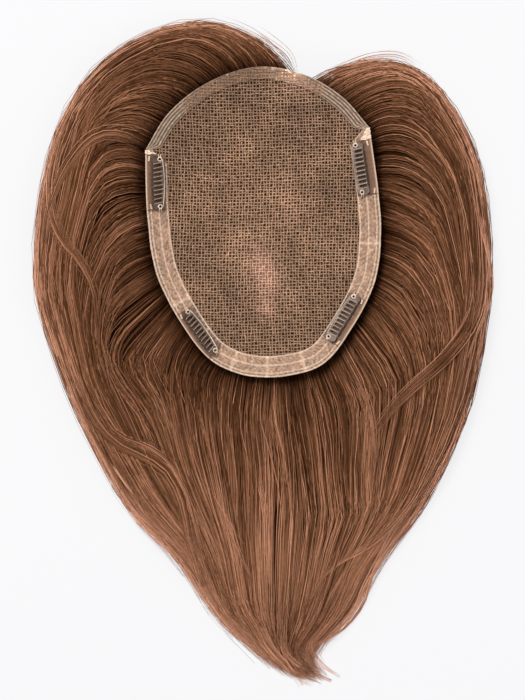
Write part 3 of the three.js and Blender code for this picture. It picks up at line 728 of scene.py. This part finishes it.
BUMP_HEIGHT = 0.2


def tinted(name, scale, low, high, roughness, bump=0.0, bump_scale=1500.0, stretch=(1, 1, 1), **sockets):
    """A material that takes its colour from the piece's tint, made uneven by noise, with a fine bump."""
    material, nodes, links, principled = shader(name, roughness, **sockets)
    tint = nodes.new("ShaderNodeVertexColor")
    tint.layer_name = "tint"
    factor = remap(nodes, links, noise(nodes, links, scale, stretch=stretch), low, high)
    links.new(times(nodes, links, tint.outputs["Color"], factor), principled.inputs["Base Color"])
    rough = remap(nodes, links, noise(nodes, links, scale * 2.3), roughness * 0.8, min(roughness * 1.2, 1))
    links.new(rough, principled.inputs["Roughness"])
    if bump:
        node = nodes.new("ShaderNodeBump")
        set_inputs(node, Strength=bump, Distance=BUMP_HEIGHT * MM)
        links.new(noise(nodes, links, bump_scale, 2.0), node.inputs["Height"])
        links.new(node.outputs["Normal"], principled.inputs["Normal"])
    return material


WARM_GLOSS = (1.0, 0.72, 0.5, 1)
hair_material = tinted("hair_strands", 420, 0.88, 1.12, 0.42, Specular_IOR_Level=0.1,
                       Specular_Tint=WARM_GLOSS)
bed_material = tinted("hair_bed", 260, 0.5, 1.5, 0.8, bump=0.8, stretch=(3, 1, 1),
                      Specular_IOR_Level=0.03)
net_material = tinted("net_threads", 90, 0.8, 1.2, 0.75, bump=0.4, Specular_IOR_Level=0.2)
cloth_material = tinted("net_cloth", 700, 0.6, 1.4, 0.9, bump=0.6, bump_scale=1100,
                        Specular_IOR_Level=0.05)
ribbon_material = tinted("ribbon_lace", 900, 0.8, 1.2, 0.8, bump=0.7, bump_scale=1300, Sheen_Weight=0.25)
satin_material = tinted("satin_tape", 500, 0.85, 1.15, 0.5, bump=0.3, stretch=(1, 6, 1),
                        Sheen_Weight=0.08, Specular_IOR_Level=0.25)
ridge_material = tinted("comb_ridges", 800, 0.8, 1.2, 0.35, Metallic=0.3)
thread_material = tinted("sewing_thread", 1200, 0.85, 1.15, 0.6, bump=0.5, Sheen_Weight=0.3)

# The bed's brown is far darker than the strands', as painted shade deep in the hair
BED_SHADE_BROWN = np.array([0.036, 0.012, 0.0045])
BED_BEARINGS = 220
BED_INSET = 6.0
# The bed lies at this share of the hair's height, less a drop, and at least a gap under the net
BED_SHARE = 0.86
BED_DROP = 2.5
BED_GAP = 4.2
# Where the hem is thin the bed stays further in: bearing and width in degrees, and how far
THIN_HEM_BEARING = 249
THIN_HEM_WIDTH = 12
THIN_HEM_INSET = 24.0


def hair_bed():
    """The mass of hair that the strands lie on, closed, with the hollow for the base in it."""
    bearings = np.linspace(0, 2 * math.pi, BED_BEARINGS, endpoint=False)
    thin_hem = np.exp(-(((np.degrees(bearings) - THIN_HEM_BEARING) / THIN_HEM_WIDTH) ** 2))
    outer = reach(hair_edge, bearings) - BED_INSET - THIN_HEM_INSET * thin_hem
    shares = np.concatenate([np.linspace(0.06, 0.9, 26), [0.93, 0.955, 0.975, 0.99]])
    r = shares[:, None] * outer[None]
    x, y = r * np.cos(bearings), r * np.sin(bearings)
    ripple = 0.8 * np.sin(23 * bearings + 9 * shares[:, None]) + 0.5 * np.sin(51 * bearings)
    z = hair_top(x, y) * BED_SHARE - BED_DROP + ripple * shares[:, None]
    z = np.clip(z, 0.6, under_net(x, y, BED_GAP))
    over = np.stack([x, y, z], -1)
    under = over[::-3].copy()
    under[..., 2] = 0.35 + 0.3 * np.sin(37 * bearings)[None] ** 2
    rings = np.concatenate([over, under])
    points = rings.reshape(-1, 3)
    walls = grid_faces(len(rings), len(bearings), wrap=True)
    first = np.arange(len(bearings))
    caps = np.stack([first[::-1], first + (len(rings) - 1) * len(bearings)])
    streak = 1 + 0.35 * np.sin(bearings * 160 + 3 * shares[0])
    tint = np.broadcast_to(BED_SHADE_BROWN * streak[None, :, None], (len(rings), len(bearings), 3))
    bed = piece("hair_bed", points, [walls, caps], bed_material, tint.reshape(-1, 3))
    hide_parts("hair")


hair_bed()
# Hair from the front goes a long way round, so it has more steps than hair from the back. For each part:
# where in the side's flow it begins and ends, its locks and its steps
HAIR_PARTS = {"front": (0, 0.36, 13, 22), "back": (0.3, 1, 20, 15)}
for side in SENSE:
    for part, (first, last, locks, steps) in HAIR_PARTS.items():
        rows = tuft_rows(side, first, last, locks, tufts_a_lock=15)
        made = strands(rows, 5, steps, thick=0.47, depth=1.8, root_in=(0.02, 0.06))
        hair_piece(f"hair_{part}_{side}", *made)
rows = [row for side in SENSE for row in tuft_rows(side, 0.1, 1, locks=12, tufts_a_lock=7)]
made = strands(rows, 3, steps=12, thick=0.95, depth=7, root_in=(0.2, 0.85), low=True)
hair_piece("hair_underside", *made)
hair_piece("hair_loose_locks", *loose_hair(loose_paths()))
hair_piece("hair_halo", *loose_hair(halo_paths()))

# The net
THREAD_GAP = 1.86
THREAD_RADIUS = 0.6
WEAVE = 0.26
NET_THICKNESS = 0.7
NET_BEIGE = np.array([0.45, 0.275, 0.173])
NET_SHADE = np.array([0.04, 0.018, 0.008])
NET_PEACH = np.array([0.68, 0.41, 0.29])
PEACH_SHADE = np.array([0.20, 0.10, 0.065])
# Places where the light from behind shows through the net: x, y, width, length
THIN_PLACES = [(-2, -24, 7, 9), (3, -34, 7, 8), (24, 85, 10, 6), (1, -50, 5, 6)]
# The folded front edge: how wide it is, how far it lifts the threads, and the bearings between which it shows
FOLD_WIDTH = 7.8
FOLD_LIFT = 1.3
FOLD_FROM = 64.0
FOLD_TO = 126.0
FOLD_FADE = 4
# How far inside the rim the threads end, on the fold and elsewhere
FOLD_INSET = 0.9
NET_INSET = 2.2
# A thread has so many half gaps either way before it is cut at the rim, and is left out if few points remain
NET_STEPS = 120
LEAST_POINTS = 6


def thinness(x, y):
    """How much light comes through the net, 0 to 1."""
    spots = (np.exp(-(((x - px) / w) ** 2) - ((y - py) / h) ** 2) for px, py, w, h in THIN_PLACES)
    return np.clip(sum(spots), 0, 1)


def on_fold(x, y):
    """Whether a point of the net lies on the folded front edge, 0 to 1."""
    degrees = np.degrees(np.arctan2(y, x))
    along = smooth_step(degrees, FOLD_FROM - FOLD_FADE, FOLD_FROM + FOLD_FADE)
    along = along * smooth_step(-degrees, -FOLD_TO - FOLD_FADE, FOLD_FADE - FOLD_TO)
    return smooth_step(FOLD_WIDTH + past_rim(x, y), 0, 0.8) * along


def net_light(x, y):
    """The net is lightest at its middle, where the bowl faces the light."""
    middle = np.exp(-((x / 45) ** 2) - ((y - 2) / 42) ** 2)
    return 0.84 + 0.22 * middle + 0.1 * np.sin(0.11 * x) * np.sin(0.09 * y)


def thread_path(number, along_x):
    """The middle of one thread over the bowl, and whether it lies over, 1, or under, -1, what it crosses."""
    run = np.arange(-NET_STEPS, NET_STEPS + 1) * THREAD_GAP * 0.5
    fixed = number * THREAD_GAP
    wave = 0.22 * np.sin(0.35 * run + fixed) + 0.14 * np.sin(0.9 * run + 2 * fixed)
    wave = wave + 0.5 * np.sin(0.05 * run)
    x, y = (run, fixed + wave) if along_x else (fixed + wave, run)
    fold = on_fold(x, y)
    inside = past_rim(x, y) < -np.where(fold > 0.2, FOLD_INSET, NET_INSET)
    over = np.cos(math.pi * (run / THREAD_GAP + number + (0 if along_x else 1)))
    z = net_top(x, y) + 0.15 + WEAVE * over + FOLD_LIFT * fold
    return np.stack([x, y, z], -1)[inside], over[inside]


def net_threads(name, along_x):
    """Threads that run one way over the bowl and pass over and under the others."""
    points, walls, caps, tints, start = [], [], [], [], 0
    half = HALF_LENGTH if along_x else HALF_WIDTH
    for number in range(int(-half / THREAD_GAP), int(half / THREAD_GAP) + 1):
        path, over = thread_path(number, along_x)
        if len(path) < LEAST_POINTS:
            continue
        radii = np.full((1, len(path)), THREAD_RADIUS)
        p, (w, c) = tubes(path[None], radii, STRAND_SIDES, STRAND_FLATNESS)
        points.append(p)
        walls.append(w + start)
        caps.append(c + start)
        start += len(p)
        thin = np.repeat(thinness(path[:, 0], path[:, 1]), STRAND_SIDES)[:, None]
        uneven = np.exp(random.normal(0, 0.16, len(path))) * spread(0.88, 1.12)
        # Painted light: a thread is lighter where it lies over the thread it crosses, and the net is lighter
        # at its middle, besides its uneven tone
        light = net_light(path[:, 0], path[:, 1]) * (0.92 + 0.08 * over) * uneven
        light = np.repeat(light, STRAND_SIDES)[:, None]
        tints.append((NET_BEIGE * (1 - thin) + NET_PEACH * thin) * light)
    faces = [np.concatenate(walls), np.concatenate(caps)]
    return piece(name, np.concatenate(points), faces, net_material, np.concatenate(tints))


def give_wall(cloth, thickness):
    wall = cloth.modifiers.new("wall", "SOLIDIFY")
    wall.thickness = thickness * MM
    wall.offset = 0


def net_cloth():
    """The fine ground of the net under its threads, with the knots and the hair showing through it, painted
    dark as the shade in the holes.
    """
    bearings = np.linspace(0, 2 * math.pi, 120, endpoint=False)
    shares = np.concatenate([[0.012], np.linspace(0.05, 0.97, 24), [0.99, 0.998]])
    r = shares[:, None] * reach(rim, bearings)[None]
    x, y = r * np.cos(bearings), r * np.sin(bearings)
    points = np.stack([x, y, net_top(x, y) - 0.35], -1).reshape(-1, 3)
    thin = thinness(x, y)[..., None]
    tint = (NET_SHADE * (1 - thin) + PEACH_SHADE * thin) * net_light(x, y)[..., None]
    faces = [grid_faces(len(shares), len(bearings), wrap=True), np.arange(len(bearings))[None, ::-1]]
    cloth = piece("net_cloth", points, faces, cloth_material, tint.reshape(-1, 3))
    give_wall(cloth, NET_THICKNESS)
    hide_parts("net_base")
    return cloth


cloth = net_cloth()
threads = [net_threads("net_threads_across", True), net_threads("net_threads_along", False)]

# Ribbon, front edge, pads and tabs
STRIP_THICKNESS = 0.5
RIBBON_WIDTH = 13.0
BORDER_INSET = 0.6
RIBBON_BEIGE = np.array([0.38, 0.23, 0.147])
RIBBON_LIGHT = np.array([0.80, 0.57, 0.41])
RIBBON_PEACH = np.array([0.36, 0.19, 0.12])
FRONT_BEIGE = np.array([0.19, 0.108, 0.066])
NOTCH_AT = 61.0
THREAD_BEIGE = np.array([0.84, 0.64, 0.48])
SATIN_BROWN = np.array([0.26, 0.142, 0.09])
PAD_LENGTH = 33.0
# Where a comb sits: share of the back rim's length, and inset as a share of the ribbon's width
COMBS = {
    "upper_left": (0.054, 0.58), "lower_left": (0.3305, 0.51), "lower_right": (0.662, 0.63),
    "upper_right": (0.9365, 0.69),
}
# Ribbon and front edge lie this far over the net, and the pads on them this far
CLOTH_LIFT = 0.9
PAD_LIFT = 2.2
# A pad reaches so far in past the middle of its comb, and leaves at least this much of the ribbon
PAD_PAST_COMB = 3.9
PAD_MARGIN = 0.6


def strip(name, line, start, end, outer, inner, lift, columns, step, relief, material, nodes,
          with_pieces=()):
    """A strip of cloth along the rim. relief gives height and tint from distance and share across."""
    rows = max(int((end - start) / step), 4)
    distance = np.linspace(start, end, rows)[:, None] * np.ones(columns)
    share = np.linspace(0, 1, columns)[None] * np.ones((rows, 1))
    outer_at, inner_at = (f(distance) if callable(f) else np.full_like(distance, f) for f in (outer, inner))
    plan = line.beside(distance, outer_at + (inner_at - outer_at) * share)
    height, tint = relief(distance, share)
    z = net_top(plan[..., 0], plan[..., 1]) + lift + height
    points = np.concatenate([plan, z[..., None]], -1).reshape(-1, 3)
    made = piece(name, points, grid_faces(rows, columns)[:, ::-1], material, tint.reshape(-1, 3))
    give_wall(made, STRIP_THICKNESS)
    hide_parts(*nodes)


def mottle(shape, strength):
    """An uneven tint for cloth: a factor for each point, the same over cells of two by three points."""
    rows, columns = shape
    cells = random.normal(0, 1, (rows // 2 + 1, columns // 3 + 1)).repeat(2, 0).repeat(3, 1)
    return np.exp(strength * (cells[:rows, :columns] + 0.4 * random.normal(0, 1, shape)))


def ridge(share, at, width):
    return np.exp(-(((share - at) / width) ** 2))


def over_net(plan, lift):
    """The points of a line in plan, lifted over the net."""
    return np.column_stack([plan, net_top(plan[:, 0], plan[:, 1]) + lift])


# Lines of sewing along the ribbon, as share across, width and weight, and places where one crosses it
RIBBON_SEAMS = [(0.02, 0.035, 1.0), (0.17, 0.03, 0.65), (0.55, 0.035, 0.75), (0.965, 0.035, 1.0)]
RIBBON_CROSSINGS = (97.0, 121.0, 151.0, 174.0, 198.0, 292.0)


def under_pad(distance):
    """How far a place along the ribbon is covered by one of the pads, 0 to 1."""
    middles = [where * back_rim.length for where, _ in COMBS.values()]
    return sum(smooth_step(PAD_LENGTH / 2 + 1 - abs(distance - at), 0, 1.5) for at in middles)


def ribbon_relief(distance, share):
    seams = sum(
        weight * ridge(share, at + 0.012 * np.sin(0.3 * distance + 9 * at), width)
        * (0.72 + 0.28 * np.sin(distance * 2 * math.pi / 2.1 + 20 * at))
        for at, width, weight in RIBBON_SEAMS
    )
    seams = seams + sum(0.55 * ridge(distance, at, 0.9) for at in RIBBON_CROSSINGS)
    rungs = (0.5 + 0.5 * np.cos(distance * 2 * math.pi / 3.3 + 3 * np.sin(share * 9))) ** 5
    lace = 0.5 + 0.25 * np.sin(distance * 4.2 + 3 * np.sin(share * 9)) + 0.25 * np.sin(share * 48 + distance)
    warm = 0.5 + 0.5 * np.sin(0.09 * distance + 5 * share) * np.sin(0.23 * distance + 1)
    warm = 0.55 * warm[..., None]
    base = RIBBON_BEIGE * (1 - warm) + RIBBON_PEACH * warm
    # Painted shade: a dark line beside the inner seam, and the ribbon darker where a pad lies over it
    gap = (1 - 0.45 * ridge(share, 0.095, 0.03)) * (1 - 0.6 * under_pad(distance))
    tint = base * ((0.68 + 0.5 * lace) * gap * mottle(share.shape, 0.24))[..., None]
    light = np.clip((seams + 0.3 * rungs) * mottle(share.shape, 0.15), 0, 1)[..., None]
    wave = 0.12 * np.sin(0.5 * distance) * share
    return 0.35 * seams + 0.1 * lace + wave, tint * (1 - light) + RIBBON_LIGHT * light


def front_relief(distance, share):
    far = abs(distance / front_rim.length - 0.5) * 2
    strong = smooth_step(far, 0.3, 0.6)
    lines = (0.5 + 0.5 * np.cos(share * 2 * math.pi * 4)) ** 2 * strong
    # Near the notch the edge is painted light, as light showing through the thin lace there
    thin = 0.9 * ridge(distance, NOTCH_AT, 11)[..., None]
    base = FRONT_BEIGE * (1 - thin) + RIBBON_LIGHT * thin
    tint = base * ((1 - 0.45 * strong) * mottle(share.shape, 0.3))[..., None]
    light = np.clip(lines * 0.75 * mottle(share.shape, 0.25), 0, 1)[..., None]
    return 0.35 * lines, tint * (1 - light) + RIBBON_LIGHT * 0.75 * light


def pad_relief(distance, share):
    ribs = 0.5 + 0.5 * np.sin(distance * 2 * math.pi / 1.3)
    border = ridge(share, 0.0, 0.05)
    # Painted shade on the pad under the comb
    comb_shade = 0.5 * ridge(share, 0.62, 0.3)
    tint = SATIN_BROWN * ((0.85 + 0.2 * ribs) * (1 - comb_shade) * mottle(share.shape, 0.08))[..., None]
    light = np.clip(border, 0, 1)[..., None]
    return 0.06 * ribs + 0.3 * border, tint * (1 - light) + RIBBON_LIGHT * 0.9 * light


THREAD_SIDES = 5


def thread_piece(name, paths, radius, steps, light=1.0):
    """Sewing threads along paths of any number of points."""
    at = np.linspace(0, 1, steps)
    evened = np.array([look_up(at, np.linspace(0, 1, len(path)), path) for path in paths])
    points, faces = tubes(evened, np.full(evened.shape[:2], radius), THREAD_SIDES)
    shade = light * random.uniform(0.8, 1.12, (len(evened), 1, 1))
    tint = np.broadcast_to(THREAD_BEIGE * shade, (len(evened), steps * THREAD_SIDES, 3)).reshape(-1, 3)
    return piece(name, points, faces, thread_material, tint)


STITCH_LENGTH = 1.5
STITCH_PITCH = 2.1
STITCH_RADIUS = 0.22
STITCH_STEPS = 6
STITCH_LIFT = 1.45
STITCH_MARGIN = 10
STITCH_INSETS = (0.8, 2.7, 7.4, 12.5)


def ribbon_stitches():
    """Rows of stitches along the ribbon: short threads that rise from the cloth and sink in again."""
    paths = []
    arch = np.sin(np.linspace(0, math.pi, STITCH_STEPS))
    last = back_rim.length - STITCH_MARGIN - STITCH_LENGTH
    for inset in STITCH_INSETS:
        for at in np.arange(STITCH_MARGIN, last, STITCH_PITCH) + spread(0, STITCH_PITCH):
            distance = at + np.linspace(0, STITCH_LENGTH, STITCH_STEPS) + random.normal(0, 0.08)
            plan = back_rim.beside(distance, inset + random.normal(0, 0.08) + np.zeros(STITCH_STEPS))
            paths.append(over_net(plan, STITCH_LIFT - 0.2 + 0.32 * arch))
    return thread_piece("ribbon_stitches", paths, STITCH_RADIUS, STITCH_STEPS)


def ribbon_inner(distance):
    """The ribbon is cut slanting at its ends, where it meets the front edge."""
    return RIBBON_WIDTH * np.minimum(0.3 + np.minimum(distance, back_rim.length - distance) / 11, 1)


def front_inner(distance):
    """The front edge narrows to both its ends, under the ribbon."""
    full = np.minimum(0.2 + np.minimum(distance - 1, front_rim.length - 1 - distance) / 7, 1)
    return BORDER_INSET + (7.2 - BORDER_INSET) * full


strip("ribbon_lace", back_rim, 0, back_rim.length, BORDER_INSET - 0.4, ribbon_inner, CLOTH_LIFT, 29, 0.75,
      ribbon_relief, ribbon_material, ["ribbon_band"], [ribbon_stitches()])
strip("front_lace", front_rim, 1, front_rim.length - 1, BORDER_INSET - 0.4, front_inner, CLOTH_LIFT, 23, 0.7,
      front_relief, ribbon_material, ["front_edge"])
for label, (where, inset) in COMBS.items():
    start = where * back_rim.length - PAD_LENGTH / 2
    pad_inner = min(inset * RIBBON_WIDTH + PAD_PAST_COMB, RIBBON_WIDTH - PAD_MARGIN)
    strip(f"satin_pad_{label}", back_rim, start, start + PAD_LENGTH, BORDER_INSET - 0.3, pad_inner, PAD_LIFT,
          21, 0.65, pad_relief, satin_material, [f"clip_pad_{label}"])

COMB_REACH = 14.3
COMB_TEETH = 10
COMB_BOW = 0.9
COMB_SLANT = 1.6
SPINE_AT = -2.8
TOOTH_END = 2.5
BAR_LIFT = 3.1
# Colour of the painted highlights on the combs' edges
COMB_HIGHLIGHT = np.array([0.50, 0.40, 0.32])
EYELET_INSET = 1.2
COMB_TOP = 5.1
RIDGE_STEPS = 14
RIDGE_SIDES = 5
RING_STEPS = 24
TAIL_STEPS = 9
BAR_STEPS = 6
TAB_WIDTH = 6.8
TAB_LIFT = 2.5


def corner_stitches(name, start, end, corner, node):
    """The fan of close stitches over a front corner, where ribbon and front edge meet."""
    paths = []
    for number, distance in enumerate(np.arange(start + 0.2, end, 0.45)):
        width = (0.3 + 0.7 * abs(distance - corner) / (end - start)) * TAB_WIDTH
        inset = np.linspace(0.2, width * spread(0.9, 1), 7)
        lean = distance + 0.4 * np.sin(number) + 0.25 * np.sin(inset * 1.3 + number)
        plan = back_rim.beside(np.clip(lean, 0, back_rim.length), inset)
        paths.append(over_net(plan, TAB_LIFT + 0.3 * np.sin(inset * 1.7 + 2 * number)))
    made = thread_piece(name, paths, 0.45, steps=10, light=1.2)
    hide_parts(node)


def comb_frame(where, inset):
    """The middle of a comb in plan, with the unit vectors along it and outwards."""
    distance = np.array([where * back_rim.length])
    along, out = (way[0] for way in back_rim.ways(distance))
    return back_rim.beside(distance, inset * RIBBON_WIDTH)[0], along, out


def comb_ridges(label, where, inset):
    """Painted highlights on a comb's polished edges: the bowed spine and the slanted teeth, where they catch
    the light.
    """
    middle, along, out = comb_frame(where, inset)
    # The right combs have teeth that slant less, thicker ridges, a dimmer painted highlight on the spine and
    # a dark line past the teeth
    right_comb = where > 0.5
    slant = 0.3 * COMB_SLANT if right_comb else COMB_SLANT
    x = np.linspace(-COMB_REACH, COMB_REACH, RIDGE_STEPS)
    bow = SPINE_AT - COMB_BOW * (1 - (x / COMB_REACH) ** 2)
    runs = [(x, bow)]
    for tooth in np.linspace(-0.84, 0.84, COMB_TEETH) * COMB_REACH:
        way = np.linspace(0, 1, RIDGE_STEPS)
        foot = SPINE_AT - COMB_BOW * (1 - (tooth / COMB_REACH) ** 2)
        runs.append((tooth + slant * (way - 0.5), foot + way * (TOOTH_END - foot)))
    if right_comb:
        runs.append((0.75 * x, TOOTH_END + 0.7 + 0.15 * np.sin(2 * x)))
    paths = []
    for x, y in runs:
        plan = middle + np.outer(x, along) + np.outer(y, out)
        paths.append(over_net(plan, COMB_TOP - 0.1))
    radii = np.full((len(paths), RIDGE_STEPS), 0.36 if right_comb else 0.26)
    radii[0] = 0.3 if right_comb else 0.42
    points, faces = tubes(np.array(paths), radii, RIDGE_SIDES)
    shade = random.uniform(0.75, 1.1, (len(paths), 1, 1)) * np.ones((1, RIDGE_STEPS * RIDGE_SIDES, 1))
    shade[0] = 0.9 if right_comb else 1.25
    if right_comb:
        shade[-1] = 0.08
    tint = (COMB_HIGHLIGHT * shade).reshape(-1, 3)
    piece(f"comb_ridges_{label}", points, faces, ridge_material, tint)


def eyelet_loops(label, where, inset):
    """The thread that holds a comb: a loop through each eyelet with its tail over the end of the comb."""
    middle, along, out = comb_frame(where, inset)
    paths = []
    for end in (-1, 1):
        eyelet = middle + along * COMB_REACH * end - out * EYELET_INSET
        turn = np.linspace(0, 2.4 * math.pi, RING_STEPS) + spread(0, 3)
        ring = np.linspace(0.95, 1.35, RING_STEPS)
        plan = eyelet + np.column_stack([ring * np.cos(turn), ring * np.sin(turn)])
        paths.append(over_net(plan, COMB_TOP + 0.2 + 0.1 * np.arange(RING_STEPS) / RING_STEPS))
        away = np.linspace(0.6, 2.9, TAIL_STEPS)
        for wrap in (-0.5, 0.5):
            apart = wrap * np.linspace(0.6, 1.6, TAIL_STEPS)
            plan = eyelet + np.outer(away * end, along) + np.outer(apart, out)
            paths.append(over_net(plan, np.interp(away, [0.6, 1.7, 2.4, 2.9], [5.3, 5.3, 3.6, 2.2])))
        middle_of_bar = where * back_rim.length + end * (PAD_LENGTH / 2 - 2)
        for bar in (0, 0.45):
            at = middle_of_bar + np.linspace(-1.5, 1.5, BAR_STEPS)
            plan = back_rim.beside(at, 2.4 + bar + 0.1 * end * np.arange(BAR_STEPS))
            paths.append(over_net(plan, BAR_LIFT))
    thread_piece(f"comb_threads_{label}", paths, 0.3, steps=16)


for label, (where, inset) in COMBS.items():
    eyelet_loops(label, where, inset)
    comb_ridges(label, where, inset)
tab_gap = PAD_LENGTH / 2 + 0.4
left_end = COMBS["upper_left"][0] * back_rim.length - tab_gap
right_start = COMBS["upper_right"][0] * back_rim.length + tab_gap
corner_stitches("corner_stitches_left", 0, left_end, 0, "corner_tab_left")
corner_stitches("corner_stitches_right", right_start, back_rim.length, back_rim.length, "corner_tab_right")

# Looks of the carried-over combs. The right ones are a lighter copy of the same enamel, as painted light
COMB_COLOURS = {
    "left": ((0.085, 0.05, 0.034, 1), (0.17, 0.11, 0.08, 1)),
    "right": ((0.17, 0.115, 0.09, 1), (0.30, 0.225, 0.185, 1)),
}


def comb_material(side):
    """Brown enamel over spring steel, with painted light making it lighter on the right."""
    material, nodes, links, principled = shader(
        f"comb_enamel_{side}", 0.45, Metallic=0.35, Specular_IOR_Level=0.3
    )
    ramp = nodes.new("ShaderNodeValToRGB")
    for element, at, colour in zip(ramp.color_ramp.elements, (0.35, 0.65), COMB_COLOURS[side]):
        element.position = at
        element.color = colour
    links.new(noise(nodes, links, 420), ramp.inputs["Fac"])
    links.new(ramp.outputs["Color"], principled.inputs["Base Color"])
    links.new(remap(nodes, links, noise(nodes, links, 900), 0.34, 0.54), principled.inputs["Roughness"])
    return material


enamel = {side: comb_material(side) for side in COMB_COLOURS}
for label in COMBS:
    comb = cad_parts[f"snap_comb_{label}"]
    comb.data.materials.clear()
    comb.data.materials.append(enamel[label.split("_")[1]])
    rounding = comb.modifiers.new("rounding", "BEVEL")
    rounding.width = 0.18 * MM
    rounding.segments = 2
    rounding.limit_method = "ANGLE"

# Floor, light and camera
PHOTO = (525, 700)
PHOTO_SCALE = 0.61
PHOTO_MIDDLE = (263, 223)
# In metres: the camera looks straight down, and the photograph's scale holds at one level
CAMERA_HEIGHT = 2.2
SCALE_LEVEL = 0.02
FLOOR_HALF = 4
FLOOR_LEVEL = -0.0002
floor_mesh = bpy.data.meshes.new("floor")
corners = [(x * FLOOR_HALF, y * FLOOR_HALF, FLOOR_LEVEL) for x, y in ((-1, -1), (1, -1), (1, 1), (-1, 1))]
floor_mesh.from_pydata(corners, [], [(0, 1, 2, 3)])
floor = add_object("floor", floor_mesh)
pale, _, _, surface = shader("pale_floor", 0.9)
set_inputs(surface, Base_Color=(0.15, 0.15, 0.15, 1), Emission_Color=(0.995, 0.995, 1.01, 1),
           Emission_Strength=0.765)
floor_mesh.materials.append(pale)

world = bpy.data.worlds.new("studio")
world.use_nodes = True
set_inputs(world.node_tree.nodes["Background"], Color=(0.97, 0.98, 1, 1), Strength=0.42)
bpy.context.scene.world = world


def softbox(name, where, size, power):
    """A square light that shines on the middle of the part."""
    light = bpy.data.lights.new(name, "AREA")
    light.shape = "SQUARE"
    light.size = size
    light.energy = power
    box = add_object(name, light)
    box.location = where
    box.rotation_euler = (-Vector(where)).to_track_quat("-Z", "Y").to_euler()


softbox("key", (-0.45, 0.75, 1.6), 0.7, 24)
softbox("fill", (0.9, -0.5, 1.5), 1.2, 7)

camera = bpy.data.cameras.new("camera")
camera.sensor_width = 36
look = ((PHOTO[0] / 2 - PHOTO_MIDDLE[0]) * PHOTO_SCALE + BASE_MIDDLE[0],
        (PHOTO_MIDDLE[1] - PHOTO[1] / 2) * PHOTO_SCALE + BASE_MIDDLE[1])
camera.lens = camera.sensor_width * (CAMERA_HEIGHT - SCALE_LEVEL) / (PHOTO[1] * PHOTO_SCALE * MM)
viewer = add_object("camera", camera)
viewer.location = (look[0] * MM, look[1] * MM, CAMERA_HEIGHT)
bpy.context.scene.camera = viewer
bpy.context.scene.view_settings.view_transform = "Standard"
